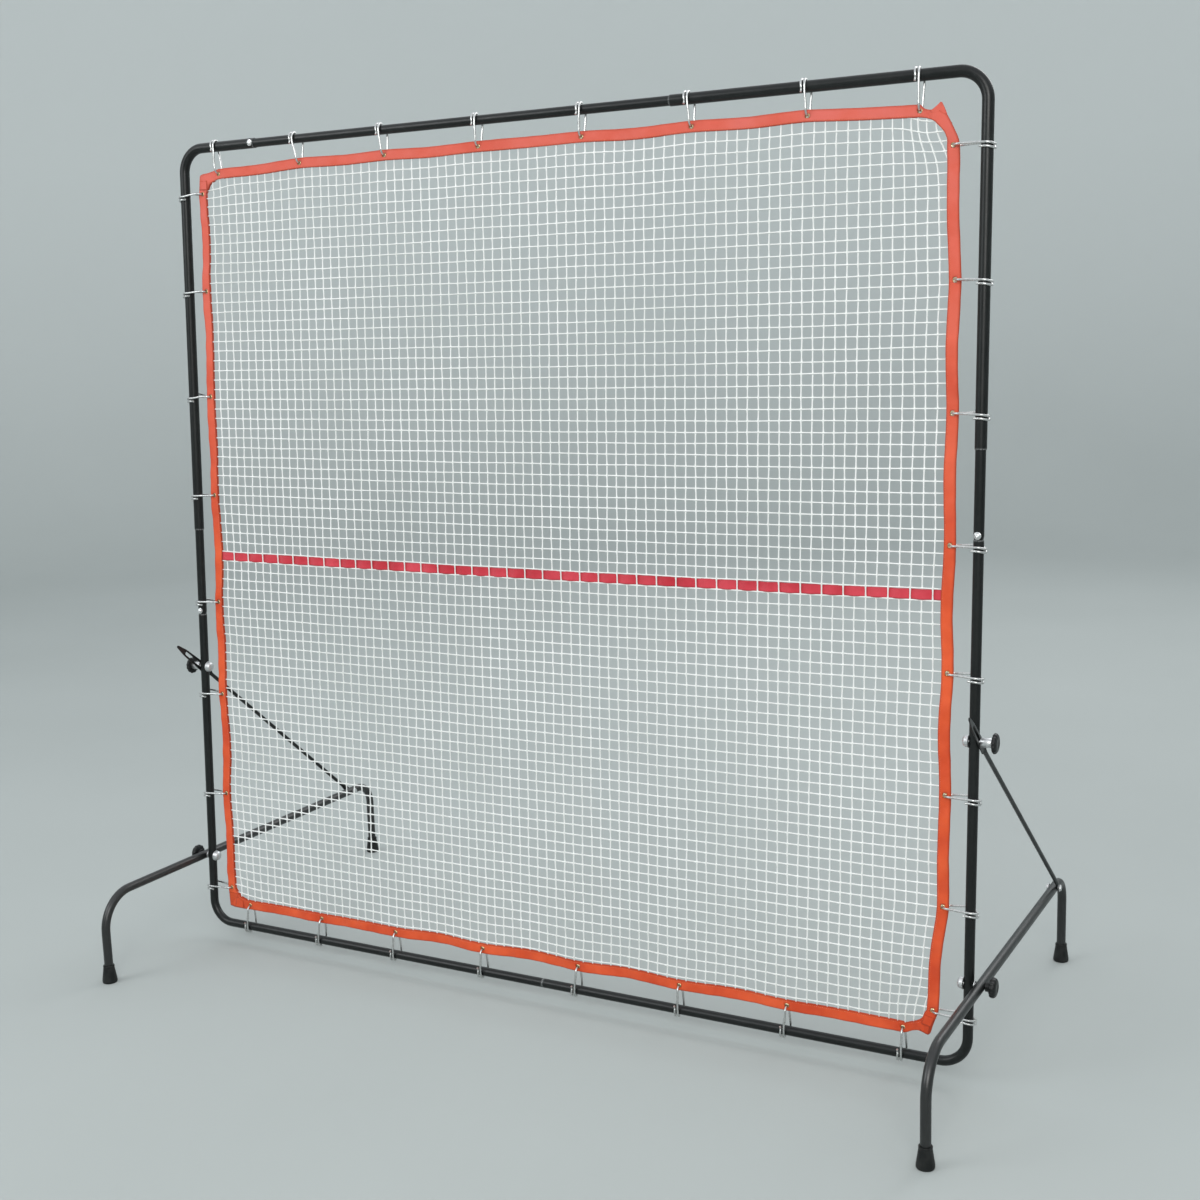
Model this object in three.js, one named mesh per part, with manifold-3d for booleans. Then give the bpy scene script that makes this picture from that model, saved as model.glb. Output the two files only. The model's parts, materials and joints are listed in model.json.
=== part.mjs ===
// A tennis rebound net. A square frame of steel tube holds a string net by wire rings. It stands
// between two bent-tube legs, turns on a pivot bolt in each leg, and is held at its angle by two
// slotted braces. Lengths are in millimetres: X runs along the net, +Y away from the player, +Z up.
import * as THREE from 'three';
import { mergeVertices } from 'three/addons/utils/BufferGeometryUtils.js';
import Module from 'manifold-3d';

const wasm = await Module();
wasm.setup();

// Clearances
const seatGap = 0.3;
const cutOverrun = 4;

// Frame tubes, measured between tube centres
const frameWidth = 2100;
const frameHeight = 2060;
const frameBendRadius = 60;
const upperTubeDiameter = 25;
const lowerTubeDiameter = 22;
const tubeWall = 1.2;
const insertLength = 60;
const swageTaper = 8;
const spigotRoot = 30;
const spigotGrip = 0.75;
const topJointShares = [0.113, 0.667];
const bottomJointShare = 0.5;

// The side tubes' lower joints are set above the tilt bolt, and their upper joints as a share of
// what is left up to the top tube.
const leftLowerJointRise = 143;
const rightLowerJointRise = 421;
const leftUpperJointShare = 0.187;
const rightUpperJointShare = 0.197;

// How the frame stands between its legs
const leanDegrees = 2.65;
const tiltRangeDegrees = [-10, 2];
const pivotRise = 182;
const tiltBoltRise = 524;

// Legs
const legTubeDiameter = 22;
const legHeight = 224;
const legFrontReach = 380;
const legRearReach = 745;
const legFrontBendRadius = 90;
const legRearBendRadius = 60;
const braceBoltReach = 655;

// Rubber feet
const footDiameter = 38;
const footTopDiameter = 27;
const footHeight = 46;
const footSole = 6;
const footFlareHeight = 12;

// Braces
const bracePlateThickness = 2.4;
const bracePlateWidth = 26;
const bracePlateOverhang = 9;
const braceSlotEndWidth = 18;
const braceNoseLength = 36;
const braceNoseWidth = 6;
const braceShoulderLength = 12;
const braceRodDiameter = 10;
const braceRodOverlap = 10;
const braceEyeWidth = 16;
const braceEyeLength = 46;

// Bolts and knobs
const boltDiameter = 8;
const boltHeadDiameter = 26;
const boltHeadHeight = 13;
const boltThreadInKnob = 12;
const collarDiameter = 18;
const braceBoltDiameter = 6;
const braceBoltHeadDiameter = 14;
const braceBoltHeadHeight = 4;
const braceNutDiameter = 13;
const braceNutHeight = 6;
const knobDiameter = 44;
const knobHeadThickness = 17;
const knobRimThickness = 5;
const knobNeckDiameter = 21;
const pivotKnobNeck = 8;
const tiltKnobNeck = 20;

// Net, border tape, ribbon and rings. At each corner of the tape come two lengths, along and up to
// the rings nearest to it, how much further in it hangs at those two rings, which are as much
// longer, and the shares of the lengths by which the corner is drawn in. The ring shares place the
// rings of a side between its first and its last, from its left or lower end.
const cornerRingDistances = {
  bottomLeft: [82, 54],
  bottomRight: [95, 62],
  topRight: [91, 95],
  topLeft: [68, 68],
};
const cornerRingSlack = {
  bottomLeft: [0, 7],
  bottomRight: [0, 18],
  topRight: [11, 9],
  topLeft: [9, 0],
};
const tapeCornerShares = {
  bottomLeft: [0.3, 0.09],
  bottomRight: [0.46, 0.61],
  topRight: [0.45, 0.16],
  topLeft: [0.16, 0.28],
};
const ringShares = {
  left: [0, 0.142, 0.29, 0.425, 0.579, 0.719, 0.866, 1],
  right: [0, 0.129, 0.263, 0.407, 0.555, 0.705, 0.853, 1],
  top: [0, 0.142, 0.282, 0.427, 0.576, 0.724, 0.869, 1],
  bottom: [0, 0.133, 0.263, 0.408, 0.557, 0.705, 0.852, 1],
};
const ringWireDiameter = 5;
const ringBendRadius = 13;
const ringEndGap = 0.6;
const ringBraceDistance = 45;
const tapeStandOff = 47;
const tapeWidth = 25;
const tapeThickness = 2.4;
const tapeScallopDepth = 4;
const eyeletDiameter = 9;
const netThickness = 3;
const netStringWidth = 6;
const netHemWidth = 12;
const netCells = 17;
const ribbonHeightShare = 0.49;
const ribbonWidth = 22;
const ribbonThickness = 1.2;
const ribbonTuck = 10;

// Facet counts
const tubeSides = 12;
const wireSides = 4;
const turnedSides = 12;
const boltSides = 8;
const eyeletSides = 6;
const tubeBendSteps = 5;
const ringBendSteps = 2;
const slotEndSteps = 4;
const scallopSteps = 3;

// Sizes that follow from the ones above
const lean = THREE.MathUtils.degToRad(leanDegrees);
const tiltRange = tiltRangeDegrees.map(THREE.MathUtils.degToRad);
const lowerRadius = lowerTubeDiameter / 2;
const legRadius = legTubeDiameter / 2;
const lowerBoreRadius = lowerRadius - tubeWall;
const swageRadius = lowerBoreRadius - seatGap;
const legGap = bracePlateThickness + 2 * seatGap;
const legOffset = lowerRadius + legGap + legRadius;
const pivotY = (legFrontReach - legRearReach) / 2;
const bottomEdge = -pivotRise;
const topEdge = frameHeight - pivotRise;
const sideEdge = frameWidth / 2;

const finishes = {
  paintedTube: new THREE.MeshStandardMaterial({ color: 0x22292a, roughness: 0.38, metalness: 0.3 }),
  rubber: new THREE.MeshStandardMaterial({ color: 0x1c201f, roughness: 0.8, metalness: 0 }),
  blackPlastic: new THREE.MeshStandardMaterial({ color: 0x1b1e1f, roughness: 0.45, metalness: 0 }),
  brightSteel: new THREE.MeshStandardMaterial({ color: 0xc9cccd, roughness: 0.25, metalness: 1 }),
  netString: new THREE.MeshStandardMaterial({ color: 0xe9ebe6, roughness: 0.85, metalness: 0 }),
  tape: new THREE.MeshStandardMaterial({ color: 0xe85c3a, roughness: 0.8, metalness: 0 }),
  ribbon: new THREE.MeshStandardMaterial({ color: 0xd8324c, roughness: 0.75, metalness: 0 }),
};

function piece(name, geometry, finish) {
  const mesh = new THREE.Mesh(geometry, finish.clone());
  mesh.name = name;
  return mesh;
}

// Booleans: a geometry becomes a solid and a solid becomes a geometry again.
function toSolid(geometry) {
  const bare = geometry.clone();
  bare.deleteAttribute('normal');
  bare.deleteAttribute('uv');
  const merged = mergeVertices(bare);
  return new wasm.Manifold(new wasm.Mesh({
    numProp: 3,
    vertProperties: Float32Array.from(merged.attributes.position.array),
    triVerts: Uint32Array.from(merged.index.array),
  }));
}

function toGeometry(solid) {
  const mesh = solid.getMesh();
  const geometry = new THREE.BufferGeometry();
  geometry.setAttribute('position', new THREE.BufferAttribute(mesh.vertProperties, 3));
  geometry.setIndex(new THREE.BufferAttribute(mesh.triVerts, 1));
  geometry.computeVertexNormals();
  return geometry;
}

// A route of straight runs joined by round bends, with stations only where its direction changes.
class BentRoute extends THREE.Curve {
  constructor(corners, bendRadii, bendSteps) {
    super();
    const heading = (from, to) => to.clone().sub(from).normalize();
    const last = corners.length - 1;
    this.stations = [{ point: corners[0], tangent: heading(corners[0], corners[1]) }];
    corners.slice(1, last).forEach((corner, index) => {
      const before = heading(corners[index], corner);
      const after = heading(corner, corners[index + 2]);
      const turn = before.angleTo(after);
      const radius = bendRadii[index];
      const inward = after.clone().addScaledVector(before, -Math.cos(turn)).normalize();
      const start = corner.clone().addScaledVector(before, -radius * Math.tan(turn / 2));
      for (let step = 0; step <= bendSteps; step += 1) {
        const angle = (turn * step) / bendSteps;
        this.stations.push({
          point: start.clone()
            .addScaledVector(before, radius * Math.sin(angle))
            .addScaledVector(inward, radius * (1 - Math.cos(angle))),
          tangent: before.clone()
            .multiplyScalar(Math.cos(angle))
            .addScaledVector(inward, Math.sin(angle)),
        });
      }
    });
    this.stations.push({ point: corners[last], tangent: heading(corners[last - 1], corners[last]) });
  }

  get spans() {
    return this.stations.length - 1;
  }

  station(share) {
    return this.stations[Math.round(share * this.spans)];
  }

  getPointAt(share, target = new THREE.Vector3()) {
    return target.copy(this.station(share).point);
  }

  getTangentAt(share, target = new THREE.Vector3()) {
    return target.copy(this.station(share).tangent);
  }
}

function ringPoints(radius, sides) {
  return Array.from({ length: sides }, (_, index) => {
    const angle = (2 * Math.PI * (index + 0.5)) / sides;
    return new THREE.Vector2(radius * Math.cos(angle), radius * Math.sin(angle));
  });
}

// A bore's flats, not its corners, lie at the bore's radius, so what fits the radius fits the bore.
function boreCorner(radius, sides) {
  return radius / Math.cos(Math.PI / sides);
}

function borePoints(radius, sides) {
  return ringPoints(boreCorner(radius, sides), sides);
}

function hollowTube(route, diameter) {
  const section = new THREE.Shape(ringPoints(diameter / 2, tubeSides));
  section.holes.push(new THREE.Path(borePoints(diameter / 2 - tubeWall, tubeSides)));
  return new THREE.ExtrudeGeometry(section, { extrudePath: route, steps: route.spans });
}

// A turned shape about +Z, from a profile of [radius, height] pairs.
function turned(profile, sides) {
  const outline = profile.map(([radius, height]) => new THREE.Vector2(radius, height));
  return new THREE.LatheGeometry(outline, sides).rotateX(Math.PI / 2);
}

function turnedAlongX(profile, sides) {
  return turned(profile, sides).rotateY(Math.PI / 2);
}

function closedLoop(profile) {
  return [...profile, profile[0]];
}

function crossHole(diameter, tubeDiameter, place) {
  const length = tubeDiameter + 2 * cutOverrun;
  const radius = boreCorner(diameter / 2, boltSides);
  const cutter = new THREE.CylinderGeometry(radius, radius, length, boltSides);
  cutter.rotateZ(Math.PI / 2).translate(place.x, place.y, place.z);
  return toSolid(cutter);
}

// Frame tubes
const alongWidth = (share) => (share - 0.5) * frameWidth;
const upSide = (share) => share * frameHeight - pivotRise;

function cornerTube(side, level, sideEnd, crossEnd, diameter) {
  const corners = [
    new THREE.Vector3(side, 0, sideEnd),
    new THREE.Vector3(side, 0, level),
    new THREE.Vector3(crossEnd, 0, level),
  ];
  return hollowTube(new BentRoute(corners, [frameBendRadius], tubeBendSteps), diameter);
}

function drilledCornerTube(side, sideEnd) {
  const tube = cornerTube(side, bottomEdge, sideEnd, alongWidth(bottomJointShare), lowerTubeDiameter);
  const holeDiameter = boltDiameter + 2 * seatGap;
  return [0, tiltBoltRise].reduce(
    (solid, rise) => solid.subtract(
      crossHole(holeDiameter, lowerTubeDiameter, new THREE.Vector3(side, 0, rise)),
    ),
    toSolid(tube),
  );
}

// The spigot pressed into the end of the left bottom tube, which slides into the right one.
function bottomSpigot() {
  const boreRadius = swageRadius - tubeWall;
  const profile = closedLoop([
    [boreRadius, -spigotRoot],
    [lowerBoreRadius + spigotGrip, -spigotRoot],
    [lowerBoreRadius + spigotGrip, -seatGap],
    [swageRadius, -seatGap],
    [swageRadius, insertLength],
    [boreRadius, insertLength],
  ]);
  return turnedAlongX(profile, tubeSides).translate(alongWidth(bottomJointShare), 0, bottomEdge);
}

// A straight side tube: its top slides into the wider corner tube, its swaged foot into the lower one.
function sideMiddleTube(side, lowerEnd, upperEnd) {
  const length = upperEnd - lowerEnd;
  const swageBore = swageRadius - tubeWall;
  const profile = closedLoop([
    [swageBore, -insertLength],
    [swageRadius, -insertLength],
    [swageRadius, seatGap],
    [lowerRadius, seatGap + swageTaper],
    [lowerRadius, length + insertLength],
    [lowerBoreRadius, length + insertLength],
    [lowerBoreRadius, seatGap + swageTaper],
    [swageBore, seatGap],
  ]);
  return turned(profile, tubeSides).translate(side, 0, lowerEnd);
}

function topMiddleTube(leftEnd, rightEnd) {
  const profile = closedLoop([
    [lowerBoreRadius, leftEnd - insertLength],
    [lowerRadius, leftEnd - insertLength],
    [lowerRadius, rightEnd + insertLength],
    [lowerBoreRadius, rightEnd + insertLength],
  ]);
  return turnedAlongX(profile, tubeSides).translate(0, 0, topEdge);
}

const leftLower = tiltBoltRise + leftLowerJointRise;
const rightLower = tiltBoltRise + rightLowerJointRise;
const leftUpper = leftLower + leftUpperJointShare * (topEdge - leftLower);
const rightUpper = rightLower + rightUpperJointShare * (topEdge - rightLower);
const [topLeft, topRight] = topJointShares.map(alongWidth);

const frameTubes = {
  top_left_corner_tube: cornerTube(-sideEdge, topEdge, leftUpper, topLeft, upperTubeDiameter),
  top_right_corner_tube: cornerTube(sideEdge, topEdge, rightUpper, topRight, upperTubeDiameter),
  bottom_left_corner_tube: toGeometry(
    drilledCornerTube(-sideEdge, leftLower).add(toSolid(bottomSpigot())),
  ),
  bottom_right_corner_tube: toGeometry(drilledCornerTube(sideEdge, rightLower)),
  top_middle_tube: topMiddleTube(topLeft, topRight),
  left_middle_tube: sideMiddleTube(-sideEdge, leftLower, leftUpper),
  right_middle_tube: sideMiddleTube(sideEdge, rightLower, rightUpper),
};

// Bolts, turned about X from the centre of the tube that they pass through, outward
function domeProfile(radius, height, seat) {
  const domeShares = [[0, 1], [0.6, 0.85], [0.95, 0.35], [1, 0]];
  return domeShares.map(([across, up]) => [radius * across, seat - height * up]);
}

function frameBolt(end, hasCollar) {
  const shank = boltDiameter / 2;
  const collar = collarDiameter / 2;
  const collarStart = lowerRadius + seatGap;
  const collarEnd = collarStart + bracePlateThickness;
  const collarSteps = [
    [shank, collarStart],
    [collar, collarStart],
    [collar, collarEnd],
    [shank, collarEnd],
  ];
  const seat = -lowerRadius - seatGap;
  return turnedAlongX([
    ...domeProfile(boltHeadDiameter / 2, boltHeadHeight, seat),
    [shank, seat],
    ...(hasCollar ? collarSteps : []),
    [shank, end],
    [0, end],
  ], boltSides);
}

// The bolt of a brace's rear end, from the nut inside the leg to its head outside the brace's eye
function braceBolt() {
  const shank = braceBoltDiameter / 2;
  const nut = braceNutDiameter / 2;
  const head = braceBoltHeadDiameter / 2;
  const nutSeat = -legRadius - seatGap;
  const headSeat = legRadius + legGap;
  return turnedAlongX([
    [0, nutSeat - braceNutHeight],
    [nut, nutSeat - braceNutHeight],
    [nut, nutSeat],
    [shank, nutSeat],
    [shank, headSeat],
    [head, headSeat],
    [head, headSeat + braceBoltHeadHeight / 2],
    [head / 2, headSeat + braceBoltHeadHeight],
    [0, headSeat + braceBoltHeadHeight],
  ], boltSides);
}

// Knobs, turned about X from the face that clamps, outward
function knob(neckLength) {
  const bore = boreCorner(boltDiameter / 2 + seatGap, turnedSides);
  const neck = knobNeckDiameter / 2;
  const head = knobDiameter / 2;
  const rim = neckLength + knobRimThickness;
  const top = neckLength + knobHeadThickness;
  const boreEnd = boltThreadInKnob + seatGap;
  const crownShares = [[1, 0], [0.93, 0.55], [0.6, 0.9], [0, 1]];
  return turnedAlongX([
    [0, boreEnd],
    [bore, boreEnd],
    [bore, 0],
    [neck, 0],
    [neck, neckLength],
    [head, neckLength],
    ...crownShares.map(([across, up]) => [head * across, rim + (top - rim) * up]),
  ], turnedSides);
}

const pivotKnobSeat = legOffset + legRadius + seatGap;
const tiltKnobSeat = lowerRadius + bracePlateThickness + 2 * seatGap;

// Wire rings: each lies square to its tube, round it and through an eyelet of the tape.
const ringHalfWidth = upperTubeDiameter / 2 + seatGap + ringWireDiameter / 2;
const eyeletReach = tapeStandOff + tapeWidth / 2;
const ringWireFlat = (ringWireDiameter / 2) * Math.cos(Math.PI / wireSides);
const ringReach = eyeletReach - eyeletDiameter / 2 + ringWireFlat + seatGap;

function wireRing(reach) {
  const middle = (reach - ringHalfWidth) / 2;
  const corners = [
    new THREE.Vector3(middle, -ringHalfWidth, 0),
    new THREE.Vector3(reach, -ringHalfWidth, 0),
    new THREE.Vector3(reach, ringHalfWidth, 0),
    new THREE.Vector3(-ringHalfWidth, ringHalfWidth, 0),
    new THREE.Vector3(-ringHalfWidth, -ringHalfWidth, 0),
    new THREE.Vector3(middle - ringEndGap, -ringHalfWidth, 0),
  ];
  const radii = corners.slice(2).map(() => ringBendRadius);
  const route = new BentRoute(corners, radii, ringBendSteps);
  const section = new THREE.Shape(ringPoints(ringWireDiameter / 2, wireSides));
  return new THREE.ExtrudeGeometry(section, { extrudePath: route, steps: route.spans });
}

// The net's four sides, counter-clockwise, each with the turn that points its rings inward. Places
// along a side are counted from its middle, towards its second corner.
const netMiddle = (topEdge + bottomEdge) / 2;
const halfHeight = (topEdge - bottomEdge) / 2;

// A ring on an upright is slid along it, clear of the brace that crosses it at the tilt bolt.
function besideBrace(along, heading) {
  const boltPlace = heading * (tiltBoltRise - netMiddle);
  const away = along - boltPlace;
  const distance = Math.max(Math.abs(away), ringBraceDistance);
  return boltPlace + (away < 0 ? -distance : distance);
}

const netSides = [
  { name: 'bottom', from: 'bottomLeft', to: 'bottomRight', heading: 1, turn: ['y', -Math.PI / 2] },
  { name: 'right', from: 'bottomRight', to: 'topRight', heading: 1, turn: ['z', Math.PI] },
  { name: 'top', from: 'topRight', to: 'topLeft', heading: -1, turn: ['y', Math.PI / 2] },
  { name: 'left', from: 'topLeft', to: 'bottomLeft', heading: -1, turn: ['z', 0] },
].map((side) => {
  const level = side.name === 'bottom' || side.name === 'top';
  const halfLength = level ? sideEdge : halfHeight;
  const ringDistance = (corner) => tapeStandOff + cornerRingDistances[corner][level ? 0 : 1];
  const first = ringDistance(side.from) - halfLength;
  const last = halfLength - ringDistance(side.to);
  const shares = side.heading > 0
    ? ringShares[side.name]
    : ringShares[side.name].map((share) => 1 - share).reverse();
  const places = shares.map((share) => first + share * (last - first));
  const slack = places.map(() => 0);
  slack[0] = cornerRingSlack[side.from][level ? 0 : 1];
  slack[slack.length - 1] = cornerRingSlack[side.to][level ? 0 : 1];
  return {
    ...side,
    level,
    slack,
    halfLength,
    distance: level ? halfHeight : sideEdge,
    rings: level ? places : places.map((along) => besideBrace(along, side.heading)),
  };
});
const [bottomSide, rightSide, topSide, leftSide] = netSides;

// How far a corner of a line at a stand-off is drawn in, along and across a side
function cornerInset(side, corner, standOff) {
  const [sideways, upright] = cornerRingDistances[corner].map(
    (distance, index) => (tapeStandOff + distance - standOff) * tapeCornerShares[corner][index],
  );
  return side.level ? { along: sideways, across: upright } : { along: upright, across: sideways };
}

// How far an edge line is drawn in at a place along a side: by the slack at a ring, by a scallop
// too between two rings, and by a straight pull from the last ring to the corner.
function drawnIn(side, along, standOff) {
  const { rings: stops, slack } = side;
  const { lerp } = THREE.MathUtils;
  const last = stops.length - 1;
  const start = cornerInset(side, side.from, standOff);
  const end = cornerInset(side, side.to, standOff);
  const reach = side.halfLength - standOff;
  if (along <= stops[0]) {
    const share = (stops[0] - along) / (stops[0] + reach - start.along);
    return lerp(slack[0], start.across, Math.min(1, share));
  }
  if (along >= stops[last]) {
    const share = (along - stops[last]) / (reach - end.along - stops[last]);
    return lerp(slack[last], end.across, Math.min(1, share));
  }
  const next = stops.findIndex((stop) => stop > along);
  const share = (along - stops[next - 1]) / (stops[next] - stops[next - 1]);
  const scallop = tapeScallopDepth * Math.sin(Math.PI * share) ** 2;
  return lerp(slack[next - 1], slack[next], share) + scallop;
}

function sidePoint(side, along, depth) {
  const across = side.distance - depth;
  const [x, z] = side.level ? [along, -across] : [across, along];
  return new THREE.Vector2(side.heading * x, side.heading * z + netMiddle);
}

// The closed line that lies a given distance inside the centres of the frame tubes.
function edgeLine(standOff) {
  return netSides.flatMap((side) => {
    const corner = cornerInset(side, side.from, standOff);
    const stops = [standOff + corner.along - side.halfLength];
    side.rings.slice(1).forEach((ring, index) => {
      for (let step = 0; step < scallopSteps; step += 1) {
        stops.push(side.rings[index] + ((ring - side.rings[index]) * step) / scallopSteps);
      }
    });
    stops.push(side.rings[side.rings.length - 1]);
    return stops.map((along) => sidePoint(side, along, standOff + drawnIn(side, along, standOff)));
  });
}

const rings = netSides.flatMap((side) => side.rings.map((along, index) => {
  const number = side.heading > 0 ? index + 1 : side.rings.length - index;
  const shape = wireRing(ringReach + side.slack[index]);
  const ring = piece(`ring_${side.name}_${number}`, shape, finishes.brightSteel);
  const [axis, angle] = side.turn;
  const place = sidePoint(side, along, 0);
  ring.rotation[axis] = angle;
  ring.position.set(place.x, 0, place.y);
  return ring;
}));

// A flat sheet in the frame's plane, from an outline in X and Z.
function flatSheet(shape, thickness) {
  return new THREE.ExtrudeGeometry(shape, { depth: thickness, bevelEnabled: false })
    .rotateX(Math.PI / 2)
    .translate(0, thickness / 2, 0);
}

function eyelets() {
  return netSides.flatMap((side) => side.rings.map((along, index) => {
    const rim = borePoints(eyeletDiameter / 2, eyeletSides);
    const place = sidePoint(side, along, eyeletReach + side.slack[index]);
    return new THREE.Path(rim.map((point) => point.add(place)));
  }));
}

function borderTape() {
  const shape = new THREE.Shape(edgeLine(tapeStandOff));
  shape.holes.push(new THREE.Path(edgeLine(tapeStandOff + tapeWidth)), ...eyelets());
  return flatSheet(shape, tapeThickness);
}

// The net: a hem that follows the tape, and square gaps between its strings.
const hemStandOff = tapeStandOff + tapeWidth + seatGap;
const gapStandOff = hemStandOff + netHemWidth;

function gapNode(column, row) {
  const reach = (side, along) => side.distance - gapStandOff - drawnIn(side, along, gapStandOff);
  const x = ((2 * column) / netCells - 1) * (sideEdge - gapStandOff);
  const z = ((2 * row) / netCells - 1) * (halfHeight - gapStandOff);
  const atSide = { 0: -reach(leftSide, -z), [netCells]: reach(rightSide, z) };
  const atEnd = { 0: -reach(bottomSide, x), [netCells]: reach(topSide, -x) };
  return new THREE.Vector2(atSide[column] ?? x, (atEnd[row] ?? z) + netMiddle);
}

function netGap(column, row) {
  const half = netStringWidth / 2;
  const inset = (corner, towardX, towardZ) => {
    const node = gapNode(column + corner[0], row + corner[1]);
    return node.add(new THREE.Vector2(towardX * half, towardZ * half));
  };
  return new THREE.Path([
    inset([0, 0], 1, 1),
    inset([1, 0], -1, 1),
    inset([1, 1], -1, -1),
    inset([0, 1], 1, -1),
  ]);
}

function stringNet() {
  const gaps = [];
  for (let row = 0; row < netCells; row += 1) {
    for (let column = 0; column < netCells; column += 1) {
      const gap = new THREE.Shape(netGap(column, row).getPoints());
      gaps.push(toSolid(flatSheet(gap, netThickness + 2 * cutOverrun)));
    }
  }
  const sheet = toSolid(flatSheet(new THREE.Shape(edgeLine(hemStandOff)), netThickness));
  return toGeometry(sheet.subtract(wasm.Manifold.union(gaps)));
}

function centreRibbon() {
  const halfLength = sideEdge - tapeStandOff - tapeWidth + ribbonTuck;
  const ribbon = new THREE.BoxGeometry(2 * halfLength, ribbonThickness, ribbonWidth);
  const behindNet = netThickness / 2 + seatGap + ribbonThickness / 2;
  return ribbon.translate(0, behindNet, upSide(ribbonHeightShare));
}

// The frame with all that rides on it, about the pivot bolts
const frame = new THREE.Group();
frame.position.set(0, pivotY, legHeight);
frame.rotation.x = -lean;
Object.entries(frameTubes).forEach(([name, geometry]) => {
  frame.add(piece(name, geometry, finishes.paintedTube));
});
frame.add(...rings);
frame.add(piece('net', stringNet(), finishes.netString));
frame.add(piece('border_tape', borderTape(), finishes.tape));
frame.add(piece('centre_ribbon', centreRibbon(), finishes.ribbon));

// Puts a piece that was made about X on the left or right side, pointing outward.
function onSide(sign, mesh, offset, z) {
  mesh.position.set(sign * (sideEdge + offset), 0, z);
  mesh.rotation.z = sign > 0 ? 0 : Math.PI;
  return mesh;
}

// How far a brace turns and slides as the frame tilts, from its rear bolt to the tilt bolt
function braceLine(tilt) {
  const back = tiltBoltRise * Math.sin(lean + tilt);
  const up = tiltBoltRise * Math.cos(lean + tilt);
  const ahead = braceBoltReach - back;
  return { angle: Math.atan2(up, ahead), length: Math.hypot(up, ahead) };
}

const restLine = braceLine(0);
const [forwardLine, backLine] = tiltRange.map(braceLine);
const braceTurnShare = (backLine.angle - forwardLine.angle) / (tiltRange[1] - tiltRange[0]);

// Across the slot, the bolt strays from a brace that turns in proportion to the frame.
function boltStray(tilt) {
  const line = braceLine(tilt);
  return -line.length * Math.sin(line.angle - restLine.angle - braceTurnShare * tilt);
}

const tiltSteps = [tiltRange[0], tiltRange[0] / 2, 0, tiltRange[1] / 2, tiltRange[1]];
const strays = tiltSteps.map(boltStray);
const slotCentre = (Math.max(...strays) + Math.min(...strays)) / 2;
const slotWidth = boltDiameter + Math.max(...strays) - Math.min(...strays) + 2 * seatGap;
const slotEndRadius = boreCorner(slotWidth / 2, 2 * slotEndSteps);

function slotPath() {
  const path = new THREE.Path();
  path.absarc(forwardLine.length, slotCentre, slotEndRadius, -Math.PI / 2, Math.PI / 2, false);
  path.absarc(backLine.length, slotCentre, slotEndRadius, Math.PI / 2, (3 * Math.PI) / 2, false);
  return path;
}

// One brace, along +X from its eye. The eye lies outside the leg and the slotted plate beside the
// upright, so the rod runs aslant between them. The plate narrows along its slot to a long nose.
const eyeOffset = legOffset + legRadius - lowerRadius;

function braceBody(sign) {
  const halfPlate = bracePlateWidth / 2;
  const plateStart = backLine.length - slotEndRadius - bracePlateOverhang;
  const slotEnd = forwardLine.length + slotEndRadius;
  const plateEnd = slotEnd + braceNoseLength;
  const rodRadius = braceRodDiameter / 2;
  const plate = new THREE.Shape([
    new THREE.Vector2(plateStart - braceShoulderLength, -rodRadius),
    new THREE.Vector2(plateStart, -halfPlate),
    new THREE.Vector2(slotEnd, -braceSlotEndWidth / 2),
    new THREE.Vector2(plateEnd, -braceNoseWidth / 2),
    new THREE.Vector2(plateEnd, braceNoseWidth / 2),
    new THREE.Vector2(slotEnd, braceSlotEndWidth / 2),
    new THREE.Vector2(plateStart, halfPlate),
    new THREE.Vector2(plateStart - braceShoulderLength, rodRadius),
  ]);
  plate.holes.push(slotPath());
  const eye = new THREE.Shape();
  eye.moveTo(braceEyeLength, -rodRadius);
  eye.lineTo(braceEyeLength, rodRadius);
  eye.lineTo(braceEyeWidth, braceEyeWidth / 2);
  eye.absarc(0, 0, braceEyeWidth / 2, Math.PI / 2, (3 * Math.PI) / 2, false);
  eye.lineTo(braceEyeWidth, -braceEyeWidth / 2);
  eye.holes.push(new THREE.Path(borePoints(braceBoltDiameter / 2 + seatGap, boltSides)));
  const flat = (shape) => new THREE.ExtrudeGeometry(
    shape,
    { depth: bracePlateThickness, bevelEnabled: false, curveSegments: slotEndSteps },
  ).translate(0, 0, -bracePlateThickness / 2);
  const rodStart = braceEyeLength - braceRodOverlap;
  const rodReach = plateStart + braceRodOverlap - braceShoulderLength - rodStart;
  const rodLength = Math.hypot(rodReach, eyeOffset);
  const rod = turnedAlongX(
    [[0, 0], [rodRadius, 0], [rodRadius, rodLength], [0, rodLength]],
    boltSides,
  )
    .rotateY(Math.atan2(sign * eyeOffset, rodReach))
    .translate(rodStart, 0, sign * eyeOffset);
  const eyePlate = flat(eye).translate(0, 0, sign * eyeOffset);
  return toGeometry(toSolid(flat(plate)).add(toSolid(rod)).add(toSolid(eyePlate)));
}

function legTube() {
  const footEnd = footSole + seatGap;
  const corners = [
    new THREE.Vector3(0, -legFrontReach, footEnd),
    new THREE.Vector3(0, -legFrontReach, legHeight),
    new THREE.Vector3(0, legRearReach, legHeight),
    new THREE.Vector3(0, legRearReach, footEnd),
  ];
  const route = new BentRoute(corners, [legFrontBendRadius, legRearBendRadius], tubeBendSteps);
  const pivotHole = crossHole(
    boltDiameter + 2 * seatGap,
    legTubeDiameter,
    new THREE.Vector3(0, 0, legHeight),
  );
  const braceHole = crossHole(
    braceBoltDiameter + 2 * seatGap,
    legTubeDiameter,
    new THREE.Vector3(0, braceBoltReach, legHeight),
  );
  const tube = toSolid(hollowTube(route, legTubeDiameter));
  return toGeometry(tube.subtract(pivotHole).subtract(braceHole));
}

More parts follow.
